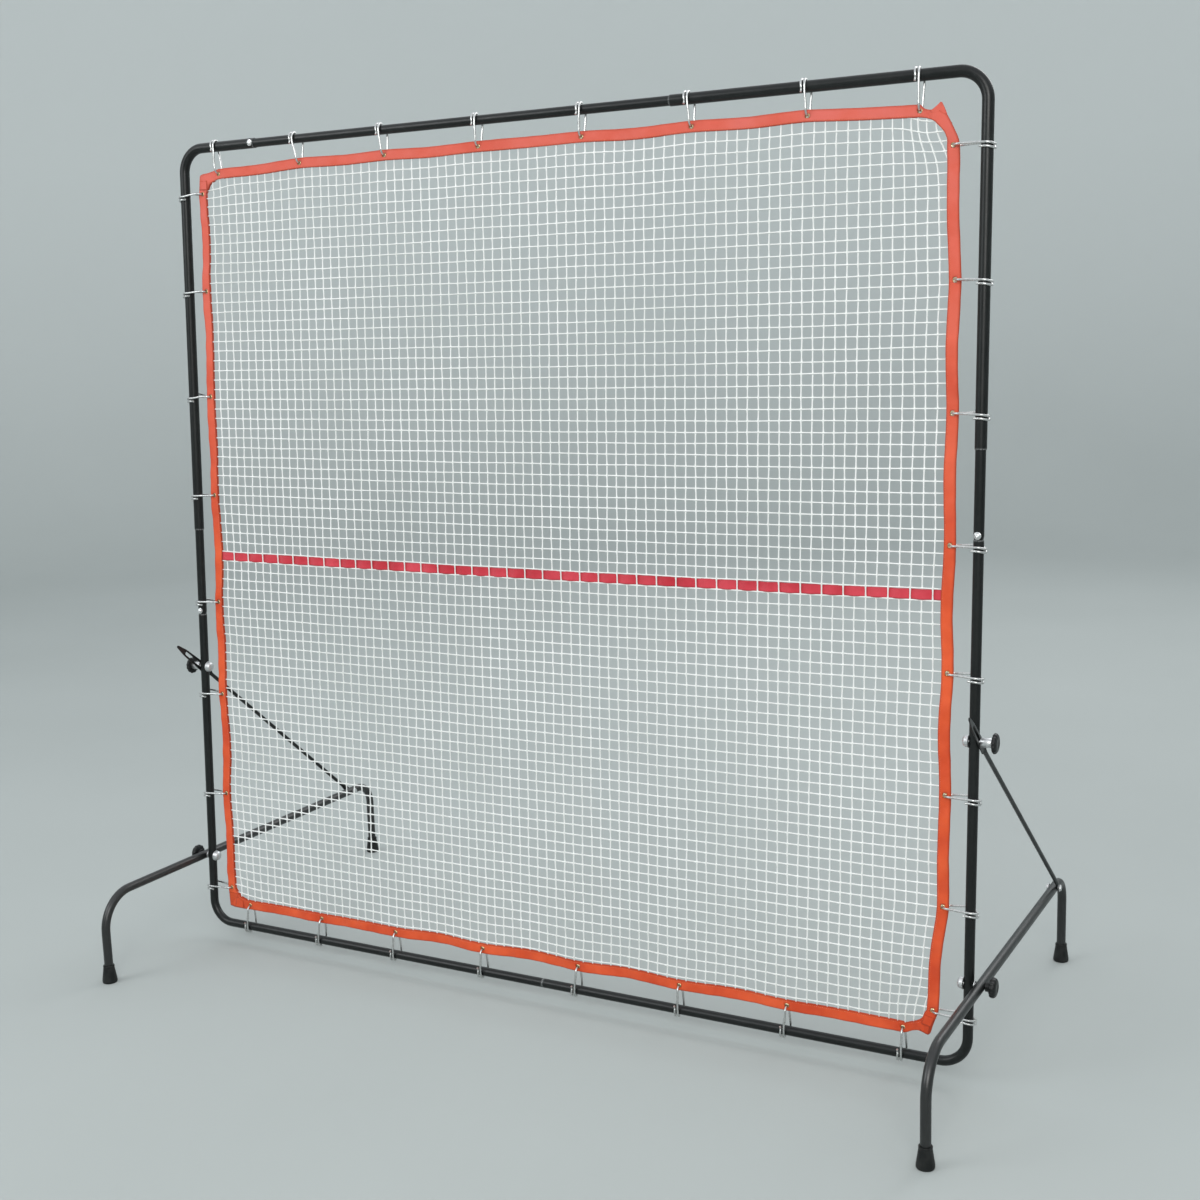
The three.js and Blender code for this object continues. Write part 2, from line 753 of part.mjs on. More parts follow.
function rubberFoot(name, y) {
  const bore = boreCorner(legRadius + seatGap, turnedSides);
  const foot = piece(name, turned([
    [0, 0],
    [footDiameter / 2, 0],
    [footDiameter / 2, footFlareHeight],
    [footTopDiameter / 2, footHeight - footFlareHeight],
    [footTopDiameter / 2, footHeight],
    [bore, footHeight],
    [bore, footSole],
    [0, footSole],
  ], turnedSides), finishes.rubber);
  foot.position.y = y;
  return foot;
}

// Each side: a leg with its feet and brace bolt, the brace, and the bolts and knobs that clamp it
const assembly = new THREE.Group();
assembly.add(frame);

[['left', -1], ['right', 1]].forEach(([side, sign]) => {
  const leg = new THREE.Group();
  leg.position.set(sign * (sideEdge + legOffset), pivotY, 0);
  const rearBolt = piece(`${side}_brace_bolt`, braceBolt(), finishes.brightSteel);
  rearBolt.position.set(0, braceBoltReach, legHeight);
  rearBolt.rotation.z = sign > 0 ? 0 : Math.PI;
  leg.add(
    piece(`${side}_leg_tube`, legTube(), finishes.paintedTube),
    rubberFoot(`${side}_front_foot`, -legFrontReach),
    rubberFoot(`${side}_rear_foot`, legRearReach),
    rearBolt,
  );
  assembly.add(leg);

  const brace = piece(`${side}_brace`, braceBody(sign), finishes.paintedTube);
  const along = new THREE.Vector3(0, -Math.cos(restLine.angle), Math.sin(restLine.angle));
  const thick = new THREE.Vector3(1, 0, 0);
  const across = new THREE.Vector3().crossVectors(thick, along);
  brace.quaternion.setFromRotationMatrix(new THREE.Matrix4().makeBasis(along, across, thick));
  const braceOffset = lowerRadius + seatGap + bracePlateThickness / 2;
  brace.position.set(sign * (sideEdge + braceOffset), pivotY + braceBoltReach, legHeight);
  assembly.add(brace);

  const pivotBolt = frameBolt(pivotKnobSeat + boltThreadInKnob, true);
  const tiltBolt = frameBolt(tiltKnobSeat + boltThreadInKnob, false);
  frame.add(
    onSide(sign, piece(`${side}_pivot_bolt`, pivotBolt, finishes.brightSteel), 0, 0),
    onSide(sign, piece(`${side}_tilt_bolt`, tiltBolt, finishes.brightSteel), 0, tiltBoltRise),
    onSide(sign, piece(`${side}_pivot_knob`, knob(pivotKnobNeck), finishes.blackPlastic), pivotKnobSeat, 0),
    onSide(
      sign,
      piece(`${side}_tilt_knob`, knob(tiltKnobNeck), finishes.blackPlastic),
      tiltKnobSeat,
      tiltBoltRise,
    ),
  );
});

export default assembly;
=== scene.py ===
import json
import math
import random

import bpy
import numpy as np
from mathutils import Matrix, Vector


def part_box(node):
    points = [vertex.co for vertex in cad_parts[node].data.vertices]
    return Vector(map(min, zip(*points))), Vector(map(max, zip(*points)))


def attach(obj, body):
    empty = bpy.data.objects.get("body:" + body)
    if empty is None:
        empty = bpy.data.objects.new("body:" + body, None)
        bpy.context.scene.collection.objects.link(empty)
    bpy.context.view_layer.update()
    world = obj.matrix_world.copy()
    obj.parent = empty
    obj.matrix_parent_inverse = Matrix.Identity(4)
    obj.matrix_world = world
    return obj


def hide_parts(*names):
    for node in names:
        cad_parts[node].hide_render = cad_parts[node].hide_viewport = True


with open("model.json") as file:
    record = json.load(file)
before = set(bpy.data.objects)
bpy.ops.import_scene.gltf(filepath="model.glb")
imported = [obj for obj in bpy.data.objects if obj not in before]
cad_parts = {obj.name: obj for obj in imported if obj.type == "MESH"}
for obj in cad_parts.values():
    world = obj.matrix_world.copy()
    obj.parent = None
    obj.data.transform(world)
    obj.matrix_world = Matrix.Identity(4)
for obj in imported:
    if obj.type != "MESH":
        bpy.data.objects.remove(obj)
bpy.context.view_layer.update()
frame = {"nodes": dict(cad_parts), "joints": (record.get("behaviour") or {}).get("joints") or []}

# The camera. It stands to the right of the net, a little above its middle, and looks left and down
# at it with its horizon slightly turned, as the photograph's camera did.
camera_place = Vector((1.954, -3.3875, 1.637))
camera_yaw, camera_pitch, camera_roll = (math.radians(turn) for turn in (28.89, 9.84, -1.79))
focal_pixels = 1620
picture_pixels = 1200
film_width = 36

look = Vector((
    -math.sin(camera_yaw) * math.cos(camera_pitch),
    math.cos(camera_yaw) * math.cos(camera_pitch),
    -math.sin(camera_pitch),
))
level_right = Vector((math.cos(camera_yaw), math.sin(camera_yaw), 0))
level_up = level_right.cross(look)
camera_right = level_right * math.cos(camera_roll) + level_up * math.sin(camera_roll)
camera_up = level_up * math.cos(camera_roll) - level_right * math.sin(camera_roll)

camera = bpy.data.objects.new("camera", bpy.data.cameras.new("camera"))
camera.data.sensor_width = film_width
camera.data.lens = film_width * focal_pixels / picture_pixels
camera.matrix_world = (
    Matrix.Translation(camera_place)
    @ Matrix((camera_right, camera_up, -look)).transposed().to_4x4()
)
bpy.context.scene.collection.objects.link(camera)
bpy.context.scene.camera = camera

# The studio. A pale floor runs up into a round wall without an edge, and wide soft lamps stand
# round the net. The floor's tone is a little darker than the white strings, so that they show.
floor_radius = 7.5
cove_radius = 3.0
wall_height = 6.5
cove_steps = 16
floor_sides = 96
floor_tone = (0.385, 0.415, 0.405)
wall_tone = (0.64, 0.675, 0.665)


def set_inputs(node, inputs):
    """Sets inputs of a node, each to a value or to what another node puts out."""
    for name, value in inputs.items():
        socket = node.inputs[name]
        if isinstance(value, bpy.types.NodeSocket):
            node.id_data.links.new(value, socket)
        else:
            socket.default_value = (*value, 1) if socket.type == "RGBA" else value


def add_node(tree, kind, inputs=(), **settings):
    made = tree.nodes.new(kind)
    for name, value in settings.items():
        setattr(made, name, value)
    set_inputs(made, dict(inputs))
    return made


def start_finish(name, colour, roughness, metallic=0.0):
    """A new finish, its surface shader and the place on the piece, which its patterns follow."""
    finish = bpy.data.materials.new(name)
    finish.use_nodes = True
    tree = finish.node_tree
    shader = tree.nodes["Principled BSDF"]
    set_inputs(shader, {"Base Color": colour, "Roughness": roughness, "Metallic": metallic})
    return finish, shader, add_node(tree, "ShaderNodeTexCoord").outputs["Object"]


def grain(place, scale, detail=2.0):
    inputs = {"Vector": place, "Scale": scale, "Detail": detail}
    return add_node(place.id_data, "ShaderNodeTexNoise", inputs).outputs["Fac"]


def between(factor, low, high, start=0.35, end=0.65):
    """Spreads what lies from start to end over the values from low to high."""
    inputs = {"Value": factor, "From Min": start, "From Max": end, "To Min": low, "To Max": high}
    return add_node(factor.id_data, "ShaderNodeMapRange", inputs).outputs["Result"]


def mix_colours(factor, first, second):
    inputs = {0: factor, 6: first, 7: second}
    return add_node(factor.id_data, "ShaderNodeMix", inputs, data_type="RGBA").outputs[2]


def height_of(place):
    return add_node(place.id_data, "ShaderNodeSeparateXYZ", {0: place}).outputs["Z"]


def studio_paint():
    finish, shader, place = start_finish("studio_paint", floor_tone, 0.9)
    rise = between(height_of(place), 0.0, 1.0, 0.0, cove_radius)
    paint = mix_colours(rise, floor_tone, wall_tone)
    cloud = between(grain(place, 0.8), 0.0, 0.05)
    set_inputs(shader, {"Base Color": mix_colours(cloud, paint, wall_tone)})
    return finish


cove = [
    (floor_radius + cove_radius * math.sin(angle), cove_radius * (1 - math.cos(angle)))
    for angle in np.linspace(0, math.pi / 2, cove_steps + 1)
]
wall_line = [*cove, (floor_radius + cove_radius, wall_height)]
floor_points = [(0, 0, 0)]
floor_faces = []
for ring_number, (radius, height) in enumerate(wall_line):
    first = 1 + ring_number * floor_sides
    for side in range(floor_sides):
        angle = 2 * math.pi * side / floor_sides
        floor_points.append((radius * math.cos(angle), radius * math.sin(angle), height))
        after = (side + 1) % floor_sides
        if ring_number == 0:
            floor_faces.append((0, first + side, first + after))
        else:
            below = first - floor_sides
            floor_faces.append((below + side, first + side, first + after, below + after))
floor_mesh = bpy.data.meshes.new("studio_floor")
floor_mesh.from_pydata(floor_points, [], floor_faces)
floor_mesh.polygons.foreach_set("use_smooth", [True] * len(floor_faces))
floor_mesh.materials.append(studio_paint())
studio_floor = bpy.data.objects.new("studio_floor", floor_mesh)
bpy.context.scene.collection.objects.link(studio_floor)


def soft_lamp(name, place, aim, width, watts, colour):
    """A round lamp that shines from one place towards another."""
    lamp = bpy.data.objects.new(name, bpy.data.lights.new(name, "AREA"))
    lamp.data.shape = "DISK"
    lamp.data.size = width
    lamp.data.energy = watts
    lamp.data.color = colour
    lamp.location = place
    lamp.rotation_euler = (Vector(aim) - Vector(place)).to_track_quat("-Z", "Y").to_euler()
    bpy.context.scene.collection.objects.link(lamp)


soft_lamp("front_lamp", (3.0, -5.6, 3.8), (0, 0, 1.0), 3.6, 190, (1.0, 0.985, 0.96))
soft_lamp("left_lamp", (-3.8, -4.8, 3.8), (0, 0, 1.0), 3.4, 120, (0.97, 0.985, 1.0))
soft_lamp("back_lamp", (1.8, 5.2, 5.0), (0, 0, 1.2), 3.4, 90, (1.0, 1.0, 1.0))

studio_air = bpy.data.worlds.new("studio_air")
studio_air.use_nodes = True
air = studio_air.node_tree.nodes["Background"]
set_inputs(air, {"Color": (0.92, 0.96, 1.0), "Strength": 1.0})
bpy.context.scene.world = studio_air
bpy.context.scene.view_settings.view_transform = "Standard"

# Frame tubes. Seven lengths of welded steel tube in black powder coat, bent at the corners by a
# tube bender. The side tubes' feet are swaged to slide into the tube below; the upper corner tubes
# are a size wider and slide over them. Everything on the frame leans with it.
upper_tube_radius = 0.0125
lower_tube_radius = 0.011
tube_wall = 0.0012
corner_bend = 0.060
tube_sides = 40
bend_steps = 14
insert_depth = 0.060
swage_radius = 0.0095
swage_length = 0.008
swage_shape = ((0.0, 0.0), (0.25, 0.15), (0.75, 0.85), (1.0, 1.0))
slide_gap = 0.0003
rim_rounding = 0.0004
chipped_length = 0.004
both_sides = (("left", -1), ("right", 1))


def middle_of(node):
    """The middle of the box round a CAD node."""
    low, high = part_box(node)
    return (np.array(low) + np.array(high)) / 2


sideways = np.array((1.0, 0.0, 0.0))
pivot = middle_of("left_pivot_bolt") * (0, 1, 1)
upward = middle_of("left_tilt_bolt") * (0, 1, 1) - pivot
tilt_rise = np.linalg.norm(upward)
upward /= tilt_rise
backward = np.cross(upward, sideways)


def span(node, direction):
    """Where a node of the frame starts and ends in a direction, from the line of the pivots."""
    places = np.array([vertex.co for vertex in frame["nodes"][node].data.vertices])
    reach = (places - pivot) @ direction
    return reach.min(), reach.max()


def in_frame(x, rise, back=0.0):
    """Places across the frame from its middle, up along it from the pivots, and back from it."""
    x, rise, back = (np.array(part)[..., None] for part in np.broadcast_arrays(x, rise, back))
    return pivot + x * sideways + rise * upward + back * backward


side_line = middle_of("right_middle_tube")[0]
top_line = sum(span("top_middle_tube", upward)) / 2
bottom_line = span("bottom_right_corner_tube", upward)[0] + lower_tube_radius


def bent_line(corners, bends):
    """Places and headings along straight runs that are joined by round bends."""
    corners = [np.asarray(corner, float) for corner in corners]
    headings = [
        (after - before) / np.linalg.norm(after - before)
        for before, after in zip(corners, corners[1:])
    ]
    places, courses = [corners[0]], [headings[0]]
    for corner, before, after, bend in zip(corners[1:], headings, headings[1:], bends):
        turn = math.acos(np.clip(before @ after, -1, 1))
        inward = after - before * math.cos(turn)
        inward /= np.linalg.norm(inward)
        start = corner - before * bend * math.tan(turn / 2)
        for angle in np.linspace(0, turn, bend_steps + 1):
            places.append(start + bend * (before * math.sin(angle) + inward * (1 - math.cos(angle))))
            courses.append(before * math.cos(angle) + inward * math.sin(angle))
    places.append(corners[-1])
    courses.append(headings[-1])
    return np.array(places), np.array(courses)


def round_angles(count, offset=0.0):
    return (np.arange(count) + offset) * 2 * math.pi / count


def rings_round(places, courses, square_to, radii, sides):
    """One ring of points round each place of a line that lies square to a direction."""
    outward = np.cross(square_to, courses)
    angles = round_angles(sides)
    radii = np.broadcast_to(radii, len(places))
    spokes = (
        np.cos(angles)[None, :, None] * outward[:, None, :]
        + np.sin(angles)[None, :, None] * np.asarray(square_to)[None, None, :]
    )
    return places[:, None, :] + radii[:, None, None] * spokes


def skin(rows, columns, first=0, joined=False, capped=False):
    """Faces over rings of points, joined end to end or capped at both ends."""
    faces = []
    for row in range(rows if joined else rows - 1):
        here, there = first + row * columns, first + (row + 1) % rows * columns
        for column in range(columns):
            after = (column + 1) % columns
            faces.append((here + column, here + after, there + after, there + column))
    if capped:
        faces.append(tuple(range(first + columns - 1, first - 1, -1)))
        faces.append(tuple(first + (rows - 1) * columns + column for column in range(columns)))
    return faces


def mesh_of(parts, **ends):
    """The points and faces of one mesh of several parts, each part a stack of rings."""
    faces = []
    first = 0
    for rings in parts:
        rows, columns = rings.shape[:2]
        faces += skin(rows, columns, first, **ends)
        first += rows * columns
    return np.concatenate([rings.reshape(-1, 3) for rings in parts]), faces


def edit_all(piece, change, **settings):
    """Runs one of the mesh editor's commands on the whole of a piece."""
    bpy.context.view_layer.objects.active = piece
    piece.select_set(True)
    bpy.ops.object.mode_set(mode="EDIT")
    bpy.ops.mesh.select_all(action="SELECT")
    change(**settings)
    bpy.ops.object.mode_set(mode="OBJECT")
    piece.select_set(False)


def make_piece(name, points, faces, finish, body, slot, stands_for=(), marks=(), crease=40):
    """A named mesh that rides on a body, with the finish and the CAD nodes that it stands for."""
    mesh = bpy.data.meshes.new(name)
    mesh.from_pydata(np.reshape(points, (-1, 3)).tolist(), [], faces)
    for mark, values in dict(marks).items():
        values = np.asarray(values, np.float32)
        kind, field = ("FLOAT_VECTOR", "vector") if values.ndim == 2 else ("FLOAT", "value")
        mesh.attributes.new(mark, kind, "POINT").data.foreach_set(field, values.ravel())
    mesh.polygons.foreach_set("use_smooth", [True] * len(mesh.polygons))
    mesh.materials.append(finish)
    piece = bpy.data.objects.new(name, mesh)
    bpy.context.scene.collection.objects.link(piece)
    edit_all(piece, bpy.ops.mesh.normals_make_consistent, inside=False)
    mesh.set_sharp_from_angle(angle=math.radians(crease))
    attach(piece, body)
    if stands_for:
        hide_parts(*stands_for)
    return piece


def calculate(operation, first, *others):
    inputs = dict(enumerate((first, *others)))
    return add_node(first.id_data, "ShaderNodeMath", inputs, operation=operation).outputs[0]


def relief(height, distance, strength=1.0):
    inputs = {"Height": height, "Distance": distance, "Strength": strength}
    return add_node(height.id_data, "ShaderNodeBump", inputs).outputs["Normal"]


def mark_on(shader, mark, output="Fac"):
    """What the mesh says at its points under the name of a mark."""
    return add_node(shader.id_data, "ShaderNodeAttribute", attribute_name=mark).outputs[output]


def powder_coat(name, dark, light, shine, low, high):
    """Black paint in two clouded tones, with a little dust, and chipped to the steel at rims."""
    finish, shader, place = start_finish(name, light, low)
    cloud = between(grain(place, 5), 0, 1)
    coat = mix_colours(cloud, dark, light)
    dust = between(grain(place, 90, 4), 0, 0.08, 0.50, 0.75)
    coat = mix_colours(dust, coat, (0.045, 0.048, 0.046))
    chipped = between(grain(place, 900, 3), 0, 1, 0.47, 0.56)
    chips = calculate("MULTIPLY", mark_on(shader, "worn"), chipped)
    set_inputs(shader, {
        "Base Color": mix_colours(chips, coat, (0.30, 0.31, 0.31)),
        "Roughness": between(grain(place, 40, 3), low, high),
        "Specular IOR Level": shine,
        "Normal": relief(grain(place, 520, 1), 0.00004),
    })
    return finish


black_coat = powder_coat(
    "black_coat", dark=(0.0036, 0.0048, 0.0047), light=(0.0068, 0.0084, 0.0082),
    shine=0.34, low=0.30, high=0.38,
)


def hollow_tube(name, places, courses, square_to, radii, body="frame", coat=black_coat):
    """A tube with a wall, rounded at its rims, where its paint is chipped."""
    radii = np.broadcast_to(radii, len(places))
    start, end = places[0], places[-1]
    ahead, behind = courses[0], courses[-1]
    line = [
        (start, ahead, radii[0] - rim_rounding, 1),
        (start + ahead * rim_rounding, ahead, radii[0], 1),
        (start + ahead * chipped_length, ahead, radii[0], 0),
        *((place, course, radius, 0)
          for place, course, radius in zip(places[1:-1], courses[1:-1], radii[1:-1])),
        (end - behind * chipped_length, behind, radii[-1], 0),
        (end - behind * rim_rounding, behind, radii[-1], 1),
        (end, behind, radii[-1] - rim_rounding, 1),
    ]
    bore = [
        (start, ahead, radii[0] - tube_wall + rim_rounding / 2, 1),
        *((place, course, radius - tube_wall, worn) for place, course, radius, worn in line[1:-1]),
        (end, behind, radii[-1] - tube_wall + rim_rounding / 2, 1),
    ]
    wall_places, wall_courses, wall_radii, worn = zip(*line, *reversed(bore))
    rings = rings_round(
        np.array(wall_places), np.array(wall_courses), square_to, wall_radii, tube_sides
    )
    make_piece(
        f"{name}_painted", *mesh_of([rings], joined=True), coat, body, "painted_tube", (name,),
        {"worn": np.repeat(worn, tube_sides)},
    )


def corner_tube(name, side, level, side_end, cross_end, radius):
    """A corner tube, from its end on the upright round its bend to its end on the cross tube."""
    line = in_frame([side, side, cross_end], [side_end, level, level])
    hollow_tube(name, *bent_line(line, [corner_bend]), backward, radius)


joints = {
    "left_upper": span("top_left_corner_tube", upward)[0],
    "right_upper": span("top_right_corner_tube", upward)[0],
    "left_lower": span("bottom_left_corner_tube", upward)[1],
    "right_lower": span("bottom_right_corner_tube", upward)[1],
    "top_left": span("top_left_corner_tube", sideways)[1],
    "top_right": span("top_right_corner_tube", sideways)[0],
    "bottom": span("bottom_right_corner_tube", sideways)[0],
}

for side_name, hand in both_sides:
    corner_tube(
        f"top_{side_name}_corner_tube", hand * side_line, top_line,
        joints[f"{side_name}_upper"], joints[f"top_{side_name}"], upper_tube_radius,
    )
    corner_tube(
        f"bottom_{side_name}_corner_tube", hand * side_line, bottom_line,
        joints[f"{side_name}_lower"], joints["bottom"] - hand * slide_gap, lower_tube_radius,
    )
    foot, head = joints[f"{side_name}_lower"], joints[f"{side_name}_upper"]
    swage = lower_tube_radius - swage_radius
    rises = [
        foot - insert_depth,
        *(foot + swage_length * far for far, _ in swage_shape),
        head + insert_depth,
    ]
    radii = [
        swage_radius, *(swage_radius + swage * wider for _, wider in swage_shape), lower_tube_radius
    ]
    hollow_tube(
        f"{side_name}_middle_tube", in_frame(hand * side_line, rises),
        np.tile(upward, (len(rises), 1)), backward, radii,
    )

top_ends = [joints["top_left"] - insert_depth, joints["top_right"] + insert_depth]
hollow_tube(
    "top_middle_tube", in_frame(top_ends, top_line), np.tile(sideways, (2, 1)), backward,
    lower_tube_radius,
)

# Joint screws. Zinc-plated button screws with a hexagon socket, driven through a tube and the end
# inside it, each on a washer that is pressed to the tube. The one on the bottom tube goes in from
# the back, the others from the front.
screw_radius = 0.0062
screw_height = 0.0034
socket_radius = 0.0021
socket_depth = 0.0018
joint_washer_radius = 0.0078
joint_washer_height = 0.0012
joint_screw_setback = 0.009
pressed_share = 0.8
small_turned_sides = 24


def turned(profile, centre, axis, sides, shapes=None):
    """Rings of points turned about an axis, from pairs of distance along it and radius."""
    axis = np.asarray(axis, float)
    first = np.cross(axis, (0, 0, 1.0) if abs(axis[2]) < 0.9 else (0, 1.0, 0))
    first /= np.linalg.norm(first)
    second = np.cross(axis, first)
    angles = round_angles(sides)
    spokes = np.cos(angles)[:, None] * first + np.sin(angles)[:, None] * second
    rings = []
    for row, (along, radius) in enumerate(profile):
        shape = shapes[row](angles) if shapes and shapes[row] else 1.0
        reach = radius * shape * np.ones(sides)
        rings.append(np.asarray(centre) + axis * along + reach[:, None] * spokes)
    return np.array(rings)


def hexagon(angles):
    """How far a hexagon's edge lies out at each angle, as a share of its corners' radius."""
    sixth = math.pi / 3
    return math.cos(sixth / 2) / np.cos(np.mod(angles, sixth) - sixth / 2)


def clouded(name, tones, low, high, grains, height, shine=0.5, metallic=0.0, shares=(0.35, 0.65)):
    """Two tones in clouds, a roughness from low to high, and a fine grain in relief."""
    finish, shader, place = start_finish(name, tones[0], low, metallic)
    clouds, gloss, fine = (grain(place, *scale_and_detail) for scale_and_detail in grains)
    set_inputs(shader, {
        "Base Color": mix_colours(between(clouds, 0, 1, *shares), *tones),
        "Roughness": between(gloss, low, high),
        "Specular IOR Level": shine,
        "Normal": relief(fine, height),
    })
    return finish


zinc_bloom_shade = 0.82


def bright_zinc(name, tone, low, high):
    """Plated metal with a slightly duller bloom on it."""
    duller = tuple(part * zinc_bloom_shade for part in tone)
    grains = ((160, 4), (420, 3), (1400, 2))
    return clouded(name, (tone, duller), low, high, grains, 0.00002, metallic=1.0)


screw_zinc = bright_zinc("screw_zinc", (0.86, 0.87, 0.87), 0.2, 0.36)


def button_screw(centre, outward):
    """The rings of a screw on its washer, from the washer's seat into the bottom of the socket."""
    head_top = joint_washer_height + screw_height
    profile = [
        (0.0, joint_washer_radius),
        (joint_washer_height * pressed_share, joint_washer_radius),
        (joint_washer_height, joint_washer_radius * 0.96),
        (joint_washer_height, screw_radius * 1.02),
        (joint_washer_height * 1.3, screw_radius),
        (joint_washer_height + screw_height * 0.45, screw_radius * 0.93),
        (joint_washer_height + screw_height * 0.8, screw_radius * 0.68),
        (head_top, socket_radius * 1.25),
        (head_top, socket_radius * 1.02),
        (head_top - socket_depth, socket_radius),
        (head_top - socket_depth * 1.3, socket_radius * 0.3),
    ]
    shapes = [None] * 8 + [hexagon] * 3
    return turned(profile, centre, outward, small_turned_sides, shapes)


screw_places = [
    (side_line, joints["right_lower"] + joint_screw_setback, lower_tube_radius, -1),
    (-side_line, joints["left_lower"] + joint_screw_setback, lower_tube_radius, -1),
    (joints["top_left"] - joint_screw_setback, top_line, upper_tube_radius, -1),
    (joints["bottom"] + joint_screw_setback * 2, bottom_line, lower_tube_radius, 1),
]
screws = [
    button_screw(
        in_frame(x, rise, facing * (tube_radius - joint_washer_height * pressed_share)),
        facing * backward,
    )
    for x, rise, tube_radius, facing in screw_places
]
make_piece(
    "joint_screws", *mesh_of(screws, capped=True), screw_zinc, "frame", "bright_steel", crease=50
)

# Legs. Each is one length of the smaller tube, bent down to the floor at both ends, the front bend
# wider than the rear one. It passes outside the upright and its ends are covered by the feet. Its
# coat is a lit copy of the frame's black paint: a little duller, with a stronger sheen, and painted
# a little lighter and greyer for the broad highlight along the legs.
front_bend = 0.090
rear_bend = 0.060
# Painted light: the frame's black paint made a little lighter and greyer for the legs' highlight.
leg_coat = powder_coat(
    "leg_coat", dark=(0.0044, 0.0050, 0.0050), light=(0.0080, 0.0088, 0.0086),
    shine=0.68, low=0.33, high=0.40,
)

for side_name in ("left", "right"):
    low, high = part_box(f"{side_name}_leg_tube")
    leg_x = (low.x + high.x) / 2
    front, rear, top = (
        low.y + lower_tube_radius, high.y - lower_tube_radius, high.z - lower_tube_radius
    )
    leg_line = [(leg_x, front, low.z), (leg_x, front, top), (leg_x, rear, top), (leg_x, rear, low.z)]
    hollow_tube(
        f"{side_name}_leg_tube", *bent_line(leg_line, [front_bend, rear_bend]), sideways,
        lower_tube_radius, f"{side_name}_leg", leg_coat,
    )

# Feet. Black rubber boots moulded in one, pressed on the leg ends: walls that widen evenly from a
# small lip at the mouth to a broad sole with a rounded edge, and two rings of tread under it.
foot_sides = 48
foot_shape = [
    (0.0, 0.04), (0.0, 0.28), (0.025, 0.30), (0.025, 0.42), (0.0, 0.44), (0.0, 0.62),
    (0.025, 0.64), (0.025, 0.74), (0.0, 0.76), (0.0, 0.88), (0.012, 0.93), (0.045, 0.972),
    (0.10, 0.99), (0.17, 0.985), (0.30, 0.942), (0.45, 0.886), (0.60, 0.830), (0.75, 0.775),
    (0.875, 0.729), (0.895, 0.726), (0.91, 0.742), (0.975, 0.742), (1.0, 0.715), (1.0, 0.61),
    (0.97, 0.588),
]


def turned_piece(name, profile, centre, axis, sides, *piece, shapes=None, **settings):
    """A piece turned in one, closed at both ends."""
    rings = turned(profile, centre, axis, sides, shapes)
    make_piece(name, *mesh_of([rings], capped=True), *piece, **settings)


foot_rubber = clouded(
    "moulded_rubber", ((0.0045, 0.0055, 0.0055), (0.020, 0.021, 0.020)), 0.38, 0.56,
    ((45, 5), (90, 3), (1500, 2)), 0.00006, shine=0.3, shares=(0.4, 0.75),
)
for side_name in ("left", "right"):
    for end_name in ("front", "rear"):
        node = f"{side_name}_{end_name}_foot"
        low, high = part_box(node)
        centre = ((low.x + high.x) / 2, (low.y + high.y) / 2, low.z)
        foot_height, foot_radius = high.z - low.z, (high.x - low.x) / 2
        profile = [(up * foot_height, out * foot_radius) for up, out in foot_shape]
        turned_piece(
            f"{node}_rubber", profile, centre, (0, 0, 1), foot_sides, foot_rubber,
            f"{side_name}_leg", "foot_rubber", (node,), crease=60,
        )

# Braces. Each is a steel rod in the same black coat. Its lower end is forged to a flat eye for the
# rear bolt, outside the leg, and its upper end to a flat slotted plate that lies on the upright and
# narrows to a long nose, so the rod between them slants outward on its way down.
rod_radius = 0.005
plate_half_width = 0.013
slot_end_half_width = 0.009
plate_half_thickness = 0.0012
eye_half_width = 0.008
eye_length = 0.016
eye_offset = 0.025
forged_length = 0.020
shoulder_length = 0.020
nose_length = 0.036
nose_half_width = 0.003
nose_rounding = 0.003
slot_overhang = 0.009
slot_half_width = 0.00455
slot_cut_reach = 0.004
brace_section_points = 28
eye_steps = 6
eye_turns = (0.06, 0.5)
forging_steps = 8
plate_steps = 15
nose_steps = 4
nose_turns = (0.15, 0.45)
slot_round_steps = 12

# A brace's section in three places: half its width, half its thickness and how square it is.
eye_section = (eye_half_width, plate_half_thickness, 4)
rod_section = (rod_radius, rod_radius, 1)
plate_section = (plate_half_width, plate_half_thickness, 4)

tilt_joint = next(joint for joint in frame["joints"] if joint["name"] == "frame_tilt")
tilt_limits = [math.radians(limit) for limit in tilt_joint["range_deg"]]
lean = math.atan2(upward[1], upward[2])


def swollen(angles, half_width, half_thickness, squareness):
    """A rounded section: a circle at squareness 1, nearly a rectangle at high squareness."""
    power = 1 / squareness
    across = np.sign(np.cos(angles)) * np.abs(np.cos(angles)) ** power
    through = np.sign(np.sin(angles)) * np.abs(np.sin(angles)) ** power
    return half_width * across, half_thickness * through


def ease(share):
    """A share between 0 and 1 that starts and ends softly."""
    share = np.clip(share, 0, 1)
    return share * share * (3 - 2 * share)


def forged(start, length, before, after, shares):
    """Stations where the section changes softly from one to the next."""
    return [
        (start + length * share, *(a + (b - a) * ease(share) for a, b in zip(before, after)))
        for share in shares
    ]


def keep_shaped(piece):
    """Keeps what a piece's modifiers have made of it as its mesh."""
    bpy.context.view_layer.update()
    shaped = bpy.data.meshes.new_from_object(
        piece.evaluated_get(bpy.context.evaluated_depsgraph_get())
    )
    piece.modifiers.clear()
    piece.data = shaped


